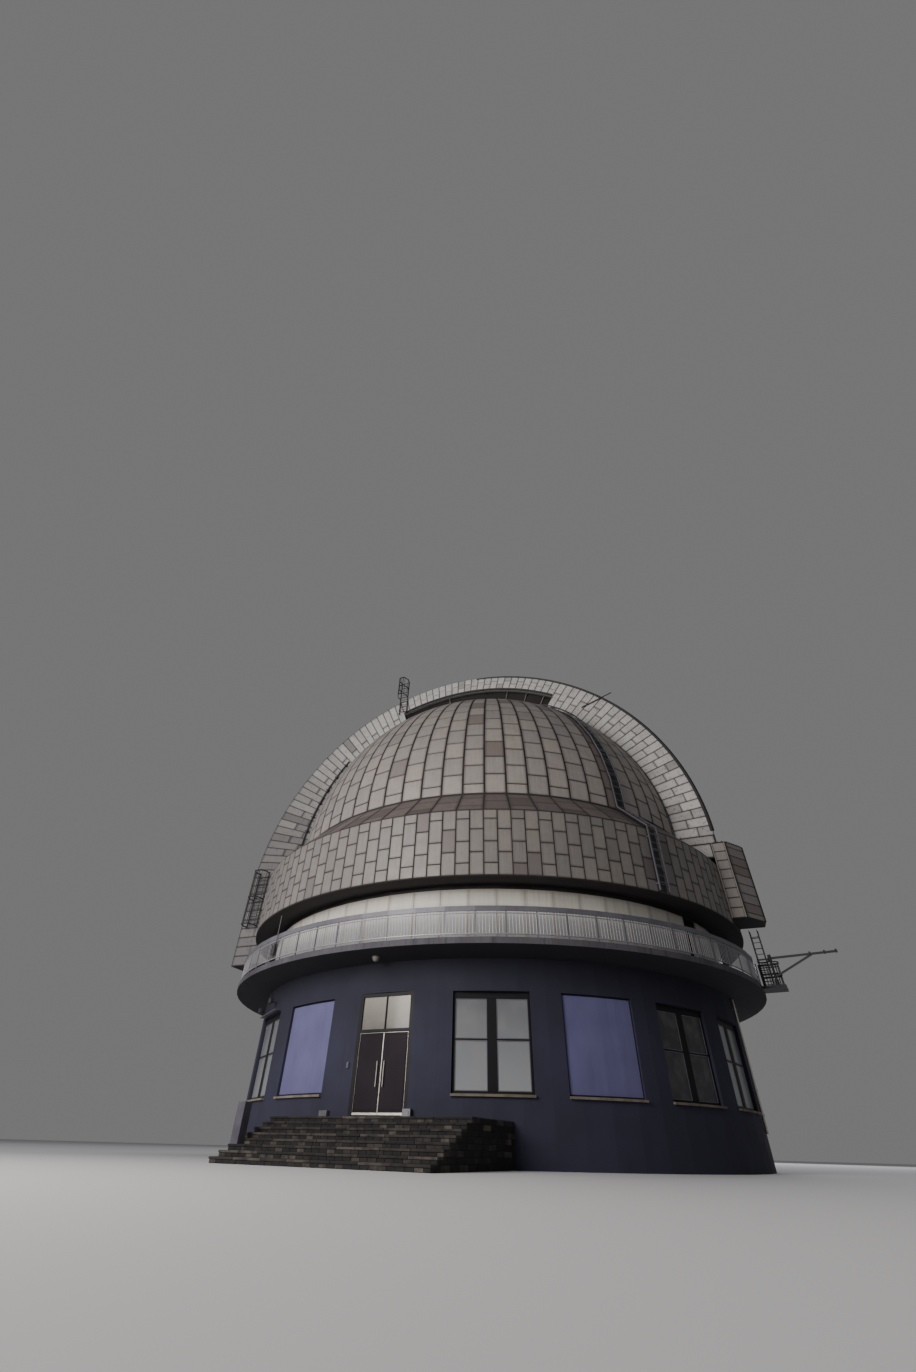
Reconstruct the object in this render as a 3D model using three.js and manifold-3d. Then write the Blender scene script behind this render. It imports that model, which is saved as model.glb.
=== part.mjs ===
import * as THREE from "three";
import { mergeVertices } from "three/addons/utils/BufferGeometryUtils.js";
import Module from "manifold-3d";

const wasm = await Module();
wasm.setup();

// Millimetres, +Z up. The origin is on the axis of the round building, at ground level.
// Azimuth is in degrees: 0 looks along -Y, and it grows towards +X.

// Ground floor
const WALL_R = 10500;
const WALL_IN_R = 10200;
const FLOOR_Z = 1050;
const SOFFIT_Z = 5260;
const BAYS = 19;
const BAY_STEP = 360 / BAYS;
const BAY_START = -0.6;
const WINDOW_HALF = 6.7;
const SILL_Z = 1650;
const HEAD_Z = 4300;
const NICHE_DEPTH = 110;
const BLANK_BAYS = [1, 4, 7, 10, 13, 15, 17];

// Door, in a flat frame that faces this azimuth
const DOOR_AZ = -19.85;
const DOOR_WIDTH = 2000;
const DOOR_HEAD_Z = 4340;
const FRAME_FRONT_R = 10450;
const FRAME_DEPTH = 120;
const LEAF_WIDTH = 866;
const LEAF_BOTTOM_Z = 1125;
const LEAF_TOP_Z = 3213;
const LEAF_THICK = 55;

// Stairs, straight and turned to this azimuth
const STAIR_AZ = -25;
const LANDING_Z = 1030;
const RISERS = 8;
const TREAD = 280;
const LANDING_FRONT = 11860;
const LANDING_LEFT = -1800;
const LANDING_RIGHT = 4850;

// Balcony slab, railing and upper wall
const SLAB_R = 11840;
const SLAB_RIM_Z = 5370;
const SLAB_TOP_Z = 5560;
const RAIL_R = 11780;
const RAIL_TOP_Z = 6530;
const RAIL_BAY = 4.865;
const UPPER_R = 10530;
const UPPER_IN_R = 10260;
const UPPER_TOP_Z = 7540;
const PANEL_STEP = 360 / 66;
const PANEL_START = 0.7;
const TRACK_TOP_Z = 7689.7;

// Service platform and jib
const PLATFORM_R = 12700;
const PLATFORM_TOP_Z = 5500;
const PLATFORM_AZ = [60.9, 63, 65.1];
const ACCESS_AZ = 62.7;
const JIB_AZ = 61.4;
const JIB_R = 12420;

// Turning dome. Its group is turned so that local +X points to the rear hood.
const DOME_TURN = -17.6;
const SKIRT_R = 11600;
const SKIRT_BOTTOM_Z = 7610;
const LEDGE_Z = 10100;
const DOME_BASE_Z = 11470;
const DOME_Z = 11500;
const DOME_R = 10260;
const SHELL = 120;
const GORE = 5;
const GORE_START = 16.2;
const SLIT_HALF = 2700;

// Arch over the slit
const ARCH_U = -1130;
const ARCH_Z = 11450;
const ARCH_R = 12600;
const ARCH_OUT_S = 3100;
const ARCH_IN_S = 2750;
const ARCH_END_U = 11200;
const FOOT_Z = 7620;
const HOOD_SIDE_U = 11780;
const HOOD_END_U = 12500;
const HOOD_END_S = 2200;
const HOOD_IN_S = 1500;
const HOOD_BOTTOM_Z = 7850;
const HOOD_TOP_Z = 11070;
const LADDER_AZ = 31.85;
const GAP = 0.3;

const radians = THREE.MathUtils.degToRad;

const colours = {
  render: 0x5c6684,
  plinth: 0x565f7a,
  concrete: 0x5a5d66,
  stone: 0x6a6259,
  cream: 0xd9d3c0,
  doorLeaf: 0x2b2423,
  frame: 0x34352f,
  glass: 0xc8d2dc,
  railing: 0xb9b7b0,
  panel: 0xa39c8e,
  flank: 0xb4b0a5,
  steel: 0x3b3a3c
};

function solidOf(geometry) {
  const bare = geometry.clone();
  bare.deleteAttribute("normal");
  bare.deleteAttribute("uv");
  const merged = mergeVertices(bare, 1e-3);
  const vertProperties = new Float32Array(merged.attributes.position.array);
  const triVerts = new Uint32Array(merged.index.array);
  return new wasm.Manifold(new wasm.Mesh({ numProp: 3, vertProperties, triVerts }));
}

function geometryOf(solid) {
  const mesh = solid.getMesh();
  const geometry = new THREE.BufferGeometry();
  geometry.setAttribute("position", new THREE.BufferAttribute(new Float32Array(mesh.vertProperties), 3));
  geometry.setIndex(new THREE.BufferAttribute(new Uint32Array(mesh.triVerts), 1));
  return geometry;
}

function joined(geometries) {
  let solid = solidOf(geometries[0]);
  for (const other of geometries.slice(1)) {
    solid = solid.add(solidOf(other));
  }
  return geometryOf(solid);
}

function cut(geometry, cutters) {
  let solid = solidOf(geometry);
  for (const cutter of cutters) {
    solid = solid.subtract(solidOf(cutter));
  }
  return geometryOf(solid);
}

// A closed profile of [radius, z] points swept between azimuths. A full turn has no end faces.
function sweep(profile, azimuths, full = false) {
  const contour = profile.map(([r, z]) => new THREE.Vector2(r, z));
  if (THREE.ShapeUtils.isClockWise(contour)) {
    contour.reverse();
  }
  const count = contour.length;
  const positions = [];
  for (const azimuth of azimuths) {
    const angle = radians(Math.round(((azimuth + 720) % 360) * 1e6) / 1e6);
    for (const point of contour) {
      positions.push(point.x * Math.sin(angle), -point.x * Math.cos(angle), point.y);
    }
  }
  const rows = azimuths.length;
  const at = (row, j) => (contour[j % count].x === 0 ? j % count : (row % rows) * count + (j % count));
  const index = [];
  const addTriangle = (a, b, c) => {
    if (a !== b && b !== c && c !== a) {
      index.push(a, b, c);
    }
  };
  const spans = full ? rows : rows - 1;
  for (let row = 0; row < spans; row += 1) {
    for (let j = 0; j < count; j += 1) {
      const a = at(row, j);
      const b = at(row, j + 1);
      const c = at(row + 1, j + 1);
      const d = at(row + 1, j);
      addTriangle(a, d, c);
      addTriangle(a, c, b);
    }
  }
  if (!full) {
    for (const [a, b, c] of THREE.ShapeUtils.triangulateShape(contour, [])) {
      addTriangle(a, b, c);
      addTriangle(at(rows - 1, a), at(rows - 1, c), at(rows - 1, b));
    }
  }
  const geometry = new THREE.BufferGeometry();
  geometry.setAttribute("position", new THREE.Float32BufferAttribute(positions, 3));
  geometry.setIndex(index);
  return geometry;
}

// Azimuths from one to another that follow a regular grid, with both ends kept.
function gridSpan(from, to, start, step) {
  const list = [from];
  const first = Math.floor((from - start) / step + 1e-6) + 1;
  for (let k = first; start + k * step < to - 1e-6; k += 1) {
    list.push(start + k * step);
  }
  list.push(to);
  return list;
}

function turn(start, step) {
  return Array.from({ length: Math.round(360 / step) }, (unused, k) => start + k * step);
}

const ring = (rIn, rOut, z0, z1) => [[rIn, z0], [rOut, z0], [rOut, z1], [rIn, z1]];

function box(x0, x1, y0, y1, z0, z1) {
  return new THREE.BoxGeometry(x1 - x0, y1 - y0, z1 - z0)
    .translate((x0 + x1) / 2, (y0 + y1) / 2, (z0 + z1) / 2);
}

// A flat outline in x and z, with its thickness from y0 to y1.
function plate(points, y0, y1, holes = []) {
  const shape = new THREE.Shape(points.map(([x, z]) => new THREE.Vector2(x, z)));
  for (const hole of holes) {
    shape.holes.push(new THREE.Path(hole.map(([x, z]) => new THREE.Vector2(x, z))));
  }
  return new THREE.ExtrudeGeometry(shape, { depth: y1 - y0, bevelEnabled: false, curveSegments: 1 })
    .rotateX(Math.PI / 2)
    .translate(0, y1, 0);
}

const rectangle = (x0, x1, z0, z1) => [[x0, z0], [x1, z0], [x1, z1], [x0, z1]];

function arcPoints(radius, from, to, steps) {
  return Array.from({ length: steps + 1 }, (unused, k) => {
    const angle = radians(from + ((to - from) * k) / steps);
    return [ARCH_U - radius * Math.cos(angle), ARCH_Z + radius * Math.sin(angle)];
  });
}

const part = new THREE.Group();

function place(group, name, geometry, colour, roughness = 0.7, metalness = 0) {
  const material = new THREE.MeshStandardMaterial({ color: colour, roughness, metalness });
  const mesh = new THREE.Mesh(geometry, material);
  mesh.name = name;
  group.add(mesh);
}

function turnedGroup(azimuth) {
  const group = new THREE.Group();
  group.rotation.z = radians(azimuth);
  part.add(group);
  return group;
}

// Plinth, ground-floor wall and its openings
const WALL_STEP = BAY_STEP / 4;
const bayCentre = (k) => BAY_START + k * BAY_STEP;
const wallTurn = turn(BAY_START, WALL_STEP);
const doorBox = (half, z0, z1) => box(-half, half, -11200, -9600, z0, z1).rotateZ(radians(DOOR_AZ));

const plinthProfile = [[0, 0], [WALL_R, 0], [WALL_R, FLOOR_Z], [0, FLOOR_Z]];
place(part, "plinth", sweep(plinthProfile, wallTurn, true), colours.plinth);

const wallEnds = [DOOR_AZ, ...[2.5, 5.5, 8.5, 11.5, 14.5].map(bayCentre), DOOR_AZ + 360];
for (let k = 0; k < 6; k += 1) {
  const from = wallEnds[k];
  const to = wallEnds[k + 1];
  const wall = sweep(ring(WALL_IN_R, WALL_R, FLOOR_Z, SOFFIT_Z), gridSpan(from, to, BAY_START, WALL_STEP));
  const cutters = [];
  for (let bay = k * 3; bay < k * 3 + 3; bay += 1) {
    const inner = BLANK_BAYS.includes(bay) ? WALL_R - NICHE_DEPTH : WALL_IN_R - 200;
    const span = [bayCentre(bay) - WINDOW_HALF, bayCentre(bay), bayCentre(bay) + WINDOW_HALF];
    cutters.push(sweep(ring(inner, WALL_R + 200, SILL_Z, HEAD_Z), span));
  }
  if (k === 0 || k === 5) {
    cutters.push(doorBox(DOOR_WIDTH / 2, 900, 5400));
  }
  place(part, `wall_${k + 1}`, cut(wall, cutters), colours.render, 0.85);
}

const lintelSpan = gridSpan(DOOR_AZ - 8, DOOR_AZ + 8, BAY_START, WALL_STEP);
const lintel = solidOf(sweep(ring(WALL_IN_R, WALL_R, DOOR_HEAD_Z, SOFFIT_Z), lintelSpan))
  .intersect(solidOf(doorBox(DOOR_WIDTH / 2 - GAP, 4000, 5600)));
place(part, "lintel", geometryOf(lintel), colours.render, 0.85);

const glazingSpan = gridSpan(bayCentre(-0.5), bayCentre(17.5), BAY_START, WALL_STEP);
const glazing = sweep(ring(WALL_IN_R - 24.4, WALL_IN_R - 0.4, SILL_Z - 90, HEAD_Z + 90), glazingSpan);
place(part, "glazing", glazing, colours.glass, 0.1);

// Door frame, transom glass and the two leaves
const door = turnedGroup(DOOR_AZ);
const frameHalf = DOOR_WIDTH / 2 - GAP;
const leafHole = LEAF_WIDTH + 9;
const leafFront = -FRAME_FRONT_R + 10;
const pivotBoss = (x) => new THREE.CylinderGeometry(13, 13, 24.7, 10)
  .rotateX(Math.PI / 2)
  .translate(x, leafFront + 16, LEAF_BOTTOM_Z - GAP - 24.7 / 2);
place(door, "door_frame", joined([
  plate(rectangle(-frameHalf, frameHalf, FLOOR_Z, DOOR_HEAD_Z), -FRAME_FRONT_R, FRAME_DEPTH - FRAME_FRONT_R, [
    rectangle(-leafHole, leafHole, 1119, 3219),
    rectangle(-leafHole, leafHole, 3310, 4240)
  ]),
  pivotBoss(-LEAF_WIDTH + 15),
  pivotBoss(LEAF_WIDTH - 15)
]), colours.frame, 0.5, 0.3);
place(door, "transom_glass", box(
  -leafHole + GAP, leafHole - GAP, -FRAME_FRONT_R + 50, -FRAME_FRONT_R + 62, 3310, 4240
), colours.glass, 0.1);
place(door, "leaf_left", box(
  -LEAF_WIDTH - 3, -3, leafFront, leafFront + LEAF_THICK, LEAF_BOTTOM_Z, LEAF_TOP_Z
), colours.doorLeaf, 0.45);
place(door, "leaf_right", box(
  3, LEAF_WIDTH + 3, leafFront, leafFront + LEAF_THICK, LEAF_BOTTOM_Z, LEAF_TOP_Z
), colours.doorLeaf, 0.45);

// Landing and steps: slabs that lie on each other, each one tread deeper than the next
const stairs = turnedGroup(STAIR_AZ);
const wallEnvelope = sweep([[0, -500], [WALL_R + GAP, -500], [WALL_R + GAP, 3000], [0, 3000]], wallTurn, true)
  .rotateZ(radians(-STAIR_AZ));
for (let k = 0; k < RISERS; k += 1) {
  const top = (LANDING_Z * (RISERS - k)) / RISERS;
  const slab = box(
    LANDING_LEFT, LANDING_RIGHT, -LANDING_FRONT - k * TREAD, -8200, top - LANDING_Z / RISERS, top
  );
  const name = k === 0 ? "landing" : `step_${RISERS - k}`;
  place(stairs, name, cut(slab, [wallEnvelope]), colours.stone, 0.9);
}
const pillarStep = 5;
const pillarFront = -LANDING_FRONT - pillarStep * TREAD + 10;
place(stairs, "side_pillar", box(
  LANDING_LEFT, LANDING_LEFT + 270, pillarFront, pillarFront + 260,
  (LANDING_Z * (RISERS - pillarStep)) / RISERS + GAP, 1305
), colours.render, 0.85);

// Floor slab that runs out as the balcony
place(part, "balcony_slab", sweep([
  [0, SOFFIT_Z], [WALL_R, SOFFIT_Z], [SLAB_R, SLAB_RIM_Z], [SLAB_R, SLAB_TOP_Z], [0, SLAB_TOP_Z]
], wallTurn, true), colours.concrete, 0.85);

// Upper wall of narrow panels, with its door to the balcony
const panelAz = (k) => PANEL_START + k * PANEL_STEP;
const upperEnds = [panelAz(9), panelAz(29), panelAz(49), panelAz(74)];
for (let k = 0; k < 3; k += 1) {
  const span = gridSpan(upperEnds[k], upperEnds[k + 1], PANEL_START, PANEL_STEP);
  const profile = ring(UPPER_IN_R, UPPER_R, SLAB_TOP_Z, UPPER_TOP_Z);
  place(part, `upper_wall_${k + 1}`, sweep(profile, span), colours.cream, 0.55);
}
place(part, "balcony_door", sweep(
  ring(UPPER_IN_R + 60, UPPER_R - 60, SLAB_TOP_Z, UPPER_TOP_Z), [panelAz(8) + 0.002, panelAz(9) - 0.002]
), colours.doorLeaf, 0.5);
place(part, "track_ring", sweep(
  ring(10320, 10490, UPPER_TOP_Z, TRACK_TOP_Z), turn(PANEL_START, 2 * PANEL_STEP), true
), colours.steel, 0.5, 0.7);

// Balcony railing in arcs: posts and a broad flat top band
const railEnds = [65.9, 130.925, 199.035, 267.145, 335.255, 420.6];
for (let k = 0; k < 5; k += 1) {
  const from = railEnds[k];
  const to = railEnds[k + 1];
  const posts = [];
  for (let post = 2 + 14 * RAIL_BAY; post < to; post += RAIL_BAY) {
    if (post > from + 0.6 && post < to - 0.6) {
      posts.push(post);
    }
  }
  if (k === 0) {
    posts.unshift(from + 0.2);
  }
  if (k === 4) {
    posts.push(to - 0.2);
  }
  const span = gridSpan(from, to, 2, RAIL_BAY);
  const pieces = [sweep(ring(RAIL_R - 25, RAIL_R + 25, RAIL_TOP_Z - 160, RAIL_TOP_Z), span)];
  for (const post of posts) {
    const bar = box(-22, 22, -RAIL_R - 14, -RAIL_R + 22, SLAB_TOP_Z, RAIL_TOP_Z - 80);
    pieces.push(bar.rotateZ(radians(post)));
  }
  place(part, `railing_${k + 1}`, joined(pieces), colours.railing, 0.5, 0.5);
}

// A ladder with a hooped cage: stiles at x, rungs, and hoops that stand out to -y
function cagedLadder(half, height, hoopHeights, standoffHeights, standoff) {
  const pieces = [
    box(-half - 25, -half + 25, -25, 25, 0, height),
    box(half - 25, half + 25, -25, 25, 0, height)
  ];
  for (let z = 200; z < height - 100; z += 400) {
    pieces.push(box(-half, half, -14, 14, z, z + 28));
  }
  const reach = 650;
  const outer = half + 60;
  for (const z of hoopHeights) {
    const hoop = [
      [-half - 20, 0], [-outer - 20, -reach * 0.45], [-outer * 0.55, -reach], [outer * 0.55, -reach],
      [outer + 20, -reach * 0.45], [half + 20, 0], [half - 20, 0], [outer - 22, -reach * 0.44],
      [outer * 0.5, -reach + 42], [-outer * 0.5, -reach + 42], [-outer + 22, -reach * 0.44], [-half + 20, 0]
    ];
    const shape = new THREE.Shape(hoop.map(([x, y]) => new THREE.Vector2(x, y)));
    pieces.push(new THREE.ExtrudeGeometry(shape, { depth: 45, bevelEnabled: false }).translate(0, 0, z));
  }
  const low = Math.min(...hoopHeights);
  const high = Math.max(...hoopHeights) + 45;
  for (const x of [-outer * 0.35, outer * 0.35]) {
    pieces.push(box(x - 14, x + 14, -reach + 6, -reach + 34, low, high));
  }
  for (const z of standoffHeights) {
    pieces.push(box(-half - 20, -half + 20, 0, standoff, z, z + 40));
    pieces.push(box(half - 20, half + 20, 0, standoff, z, z + 40));
  }
  return joined(pieces);
}

// Service platform on the slab's rim, its railing, the access ladder and the jib
const platformProfile = ring(SLAB_R - 100, PLATFORM_R, PLATFORM_TOP_Z - 100, PLATFORM_TOP_Z);
const slabEnvelope = sweep([
  [0, SLAB_RIM_Z], [SLAB_R + GAP, SLAB_RIM_Z], [SLAB_R + GAP, SLAB_TOP_Z + 10], [0, SLAB_TOP_Z + 10]
], wallTurn, true);
const platform = cut(sweep(platformProfile, PLATFORM_AZ), [slabEnvelope]);
place(part, "platform", platform, colours.steel, 0.6, 0.5);
const guardR = 12600;
const guardSpan = [62.1, 63.45, 64.8];
const guardPieces = [];
for (const z of [5900, 6270]) {
  guardPieces.push(sweep(ring(guardR - 20, guardR + 20, z, z + 40), guardSpan));
  for (const azimuth of [guardSpan[0] + 0.1, guardSpan[2] - 0.1]) {
    guardPieces.push(box(-14, 14, -guardR, -11910, z + 3, z + 37).rotateZ(radians(azimuth)));
  }
}
for (const azimuth of [guardSpan[0] + 0.1, guardSpan[1], guardSpan[2] - 0.1]) {
  guardPieces.push(box(-26, 26, -guardR - 30, -guardR + 30, PLATFORM_TOP_Z, 6292).rotateZ(radians(azimuth)));
}
for (const azimuth of [guardSpan[0] + 0.1, guardSpan[2] - 0.1]) {
  guardPieces.push(box(-22, 22, -11940, -11890, PLATFORM_TOP_Z, 6292).rotateZ(radians(azimuth)));
}
place(part, "platform_railing", joined(guardPieces), colours.steel, 0.5, 0.6);

const access = turnedGroup(ACCESS_AZ);
const accessLadder = cagedLadder(150, 2080, [1000], [], 0).rotateZ(Math.PI / 2);
place(access, "access_ladder", accessLadder.translate(0, -12110, PLATFORM_TOP_Z), colours.steel, 0.5, 0.6);

const jib = turnedGroup(JIB_AZ);
place(jib, "jib_base", new THREE.CylinderGeometry(75, 75, 110, 16)
  .rotateX(Math.PI / 2)
  .translate(0, -JIB_R, PLATFORM_TOP_Z + 55), colours.steel, 0.5, 0.6);
const jibPost = new THREE.CylinderGeometry(42, 42, 960, 16)
  .rotateX(Math.PI / 2)
  .translate(0, -JIB_R, PLATFORM_TOP_Z + 110 + GAP + 480);
const jibStrut = plate([
  [JIB_R + 20, 5760], [JIB_R + 20, 5830], [13850, 6450], [13920, 6450], [13920, 6410]
], -22, 22).rotateZ(-Math.PI / 2);
place(jib, "jib_boom", joined([
  jibPost,
  box(-30, 30, -14780, -JIB_R + 80, 6420, 6490),
  jibStrut
]), colours.steel, 0.5, 0.6);

// Turning dome: ring beam, skirt with its ledge, and the shell of gores
const dome = turnedGroup(DOME_TURN);
const goreAz = (k) => GORE_START + k * GORE;
place(dome, "ring_beam", sweep(
  ring(10300, 11050, SKIRT_BOTTOM_Z + 80, 7900), turn(GORE_START, 2 * GORE), true
), colours.steel, 0.6, 0.4);

const skirtProfile = [
  [10970, SKIRT_BOTTOM_Z], [SKIRT_R, SKIRT_BOTTOM_Z], [SKIRT_R, LEDGE_Z], [DOME_R, DOME_BASE_Z],
  [DOME_R - SHELL, DOME_BASE_Z], [SKIRT_R - 100, LEDGE_Z - 45], [SKIRT_R - 100, SKIRT_BOTTOM_Z + 80],
  [10970, SKIRT_BOTTOM_Z + 80]
];
for (let k = 0; k < 3; k += 1) {
  const span = gridSpan(goreAz(24 * k), goreAz(24 * k + 24), GORE_START, GORE);
  place(dome, `skirt_${k + 1}`, sweep(skirtProfile, span), colours.panel, 0.5, 0.6);
}

const shellRows = 10;
const shellPoint = (radius, row) => {
  const angle = radians((80 * row) / shellRows);
  return [radius * Math.cos(angle), DOME_Z + radius * Math.sin(angle)];
};
const shellProfile = [[DOME_R, DOME_BASE_Z]];
for (let row = 0; row <= shellRows; row += 1) {
  shellProfile.push(shellPoint(DOME_R, row));
}
for (let row = shellRows; row >= 0; row -= 1) {
  shellProfile.push(shellPoint(DOME_R - SHELL, row));
}
shellProfile.push([DOME_R - SHELL, DOME_BASE_Z]);
const slit = box(-13000, 3500, -SLIT_HALF, SLIT_HALF, DOME_BASE_Z - 200, 24000);
for (let k = 0; k < 4; k += 1) {
  const span = gridSpan(goreAz(18 * k + 15), goreAz(18 * k + 33), GORE_START, GORE);
  span[0] += 0.0015;
  span[span.length - 1] -= 0.0015;
  place(dome, `dome_shell_${k + 1}`, cut(sweep(shellProfile, span), [slit]), colours.panel, 0.5, 0.6);
}

// Everything on the outside of the dome is cut back to this outline of skirt, ledge and shell
const outline = [
  [0, 7000], [SKIRT_R + 0.4, 7000], [SKIRT_R + 0.4, LEDGE_Z + 0.2], [DOME_R + 0.4, DOME_BASE_Z + 0.3]
];
for (let row = 0; row <= shellRows; row += 1) {
  outline.push(shellPoint(DOME_R + 0.4, row));
}
outline.push([1200, DOME_Z + DOME_R + 0.4], [0, DOME_Z + DOME_R + 0.4]);
const envelope = sweep(outline, turn(GORE_START, GORE), true);

// Arch walls on both sides of the slit, each with a recess under its top band
const archOutline = [
  [-11000, FOOT_Z], [ARCH_U - ARCH_R, FOOT_Z], ...arcPoints(ARCH_R, 0, 180, 38),
  [ARCH_U + ARCH_R, HOOD_TOP_Z + GAP], [ARCH_END_U, HOOD_TOP_Z + GAP],
  [ARCH_END_U, 10420], [10600, 10300], [-11000, 10300]
];
const recessOutline = [...arcPoints(11550, 71, 122, 12), [5000, 19000], [-4900, 19000]];
for (const [name, side] of [["arch_wall_near", -1], ["arch_wall_far", 1]]) {
  const low = side < 0 ? -ARCH_OUT_S : ARCH_IN_S;
  const high = side < 0 ? -ARCH_IN_S : ARCH_OUT_S;
  const recessLow = side < 0 ? -ARCH_OUT_S - 200 : ARCH_OUT_S - 250;
  const recessHigh = side < 0 ? -ARCH_OUT_S + 250 : ARCH_OUT_S + 200;
  const wall = plate(archOutline, low, high);
  const recess = plate(recessOutline, recessLow, recessHigh);
  place(dome, name, cut(wall, [recess, envelope]), colours.flank, 0.5, 0.5);
}

// Front hood under the shutter's foot, rear roof under the shutter's open place, and the hood at the
// near wall's rear end
const insideHalf = ARCH_IN_S - GAP;
const frontHood = plate([
  [-13730, FOOT_Z], [-11000, FOOT_Z], [-11000, FOOT_Z + 80], [-13650, FOOT_Z + 80],
  [-13650, ARCH_Z], [-13730, ARCH_Z]
], -insideHalf, insideHalf);
place(dome, "front_hood", cut(frontHood, [envelope]), colours.flank, 0.5, 0.5);

const rearRoof = plate([
  ...arcPoints(12150, 102, 174, 14), [ARCH_END_U - 150, 10250], [ARCH_END_U - 270, 10250],
  ...arcPoints(12030, 173.4, 102, 14)
], -insideHalf, insideHalf);
place(dome, "rear_roof", cut(rearRoof, [envelope]), colours.flank, 0.5, 0.5);

const hoodPrism = (inset) => {
  const plan = [
    [10000, -ARCH_OUT_S + inset], [HOOD_SIDE_U - inset * 0.3, -ARCH_OUT_S + inset],
    [HOOD_END_U - inset, -HOOD_END_S + inset * 0.4], [HOOD_END_U - inset, -HOOD_IN_S - inset],
    [10000, -HOOD_IN_S - inset]
  ];
  const shape = new THREE.Shape(plan.map(([x, y]) => new THREE.Vector2(x, y)));
  const depth = HOOD_TOP_Z - HOOD_BOTTOM_Z - 2 * inset;
  const prism = new THREE.ExtrudeGeometry(shape, { depth, bevelEnabled: false });
  return prism.translate(0, 0, HOOD_BOTTOM_Z + inset);
};
const rearHood = hoodPrism(0);
const rearHollow = hoodPrism(90);
const belowArch = box(9000, ARCH_END_U + 2, -3200, 3200, 9900, 12000);
place(dome, "rear_hood", cut(rearHood, [rearHollow, envelope, belowArch]), colours.flank, 0.5, 0.5);

// Up-and-over shutter between the arch walls
const shutterPieces = [plate([
  ...arcPoints(12540, 0.15, 106, 30), ...arcPoints(12470, 106, 0.15, 30)
], -ARCH_IN_S + 40, ARCH_IN_S - 40)];
for (const angle of [5, 38, 71, 103]) {
  const shoe = [...arcPoints(12525, angle - 1, angle + 1, 1), ...arcPoints(12480, angle + 1, angle - 1, 1)];
  shutterPieces.push(plate(shoe, -ARCH_IN_S + GAP, ARCH_IN_S - GAP));
}
place(dome, "shutter", joined(shutterPieces), colours.flank, 0.5, 0.5);

// Ladders that turn with the dome
const footLadder = cagedLadder(315, 3080, [40, 1480, 2980], [250, 1650, 2800], 225 - GAP);
place(dome, "foot_ladder", footLadder.translate(-12840, -ARCH_OUT_S - 225, 9450), colours.steel, 0.5, 0.6);
const topLadder = cagedLadder(260, 2720, [1250, 1950, 2640], [350, 900], 125 - GAP);
place(dome, "top_ladder", topLadder.translate(-4950, -ARCH_OUT_S - 125, 22250), colours.steel, 0.5, 0.6);

const ladderGroup = new THREE.Group();
ladderGroup.rotation.z = radians(LADDER_AZ);
part.add(ladderGroup);
const ladderPath = (offset) => {
  const points = [
    [SKIRT_R + offset, 7650], [SKIRT_R + offset, LEDGE_Z + offset * 0.4],
    [DOME_R + offset, DOME_BASE_Z + offset * 0.5]
  ];
  for (let row = 1; row <= 7; row += 1) {
    const angle = radians((80 * row) / shellRows);
    points.push([(DOME_R + offset) * Math.cos(angle), DOME_Z + (DOME_R + offset) * Math.sin(angle)]);
  }
  return points;
};
const ladderOutline = [...ladderPath(170), ...ladderPath(120).reverse()];
const ladderPieces = [];
for (const x of [-235, 235]) {
  ladderPieces.push(plate(ladderOutline, x - 22, x + 22).rotateZ(-Math.PI / 2));
}
const middle = ladderPath(145);
for (let k = 0; k < middle.length - 1; k += 1) {
  const [r0, z0] = middle[k];
  const [r1, z1] = middle[k + 1];
  const length = Math.hypot(r1 - r0, z1 - z0);
  const rungs = Math.max(1, Math.round(length / 700));
  for (let j = 0; j < rungs; j += 1) {
    const t = (j + 0.5) / rungs;
    const r = r0 + (r1 - r0) * t;
    const z = z0 + (z1 - z0) * t;
    ladderPieces.push(box(-235, 235, -r - 14, -r + 14, z - 14, z + 14));
  }
}
for (const z of [7900, 9700, 13300, 16700]) {
  const r = z < LEDGE_Z ? SKIRT_R + 140 : Math.sqrt((DOME_R + 135) ** 2 - (z - DOME_Z) ** 2);
  for (const x of [-235, 235]) {
    ladderPieces.push(box(x - 18, x + 18, -r, -r + 320, z, z + 36));
  }
}
const ladder = cut(joined(ladderPieces), [envelope.clone().rotateZ(radians(DOME_TURN - LADDER_AZ))]);
place(ladderGroup, "dome_ladder", ladder, colours.steel, 0.5, 0.6);

export default part;
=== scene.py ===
import math
import random
import bmesh
import bpy
from mathutils import Matrix, Vector


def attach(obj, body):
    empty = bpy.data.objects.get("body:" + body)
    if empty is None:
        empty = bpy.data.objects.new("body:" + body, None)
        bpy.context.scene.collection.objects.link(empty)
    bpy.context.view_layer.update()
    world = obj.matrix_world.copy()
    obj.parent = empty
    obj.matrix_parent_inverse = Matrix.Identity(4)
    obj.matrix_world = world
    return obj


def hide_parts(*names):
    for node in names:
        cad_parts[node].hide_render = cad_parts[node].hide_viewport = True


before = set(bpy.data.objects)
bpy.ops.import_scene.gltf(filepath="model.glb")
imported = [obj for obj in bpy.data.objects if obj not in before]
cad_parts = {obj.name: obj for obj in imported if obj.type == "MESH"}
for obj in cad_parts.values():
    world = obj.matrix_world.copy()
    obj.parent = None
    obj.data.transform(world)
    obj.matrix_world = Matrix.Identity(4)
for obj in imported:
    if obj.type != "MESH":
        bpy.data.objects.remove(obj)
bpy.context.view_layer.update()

dice = random.Random(11)  # one seed, so every run lays the panels alike

# Shared places, in metres and degrees. Azimuth 0 looks towards the camera and grows to the right.
# Along the dome's own line u runs to the rear hood and s stands towards the camera.
site = {"domeTurn": -17.6, "doorAzimuth": -19.85, "stairAzimuth": -25, "railing": 11.78}


def polar(radius, azimuth, z):
    angle = math.radians(azimuth)
    return Vector((radius * math.sin(angle), -radius * math.cos(angle), z))


def turned(azimuth, x, y, z):
    return Matrix.Rotation(math.radians(azimuth), 3, "Z") @ Vector((x, y, z))


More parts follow.
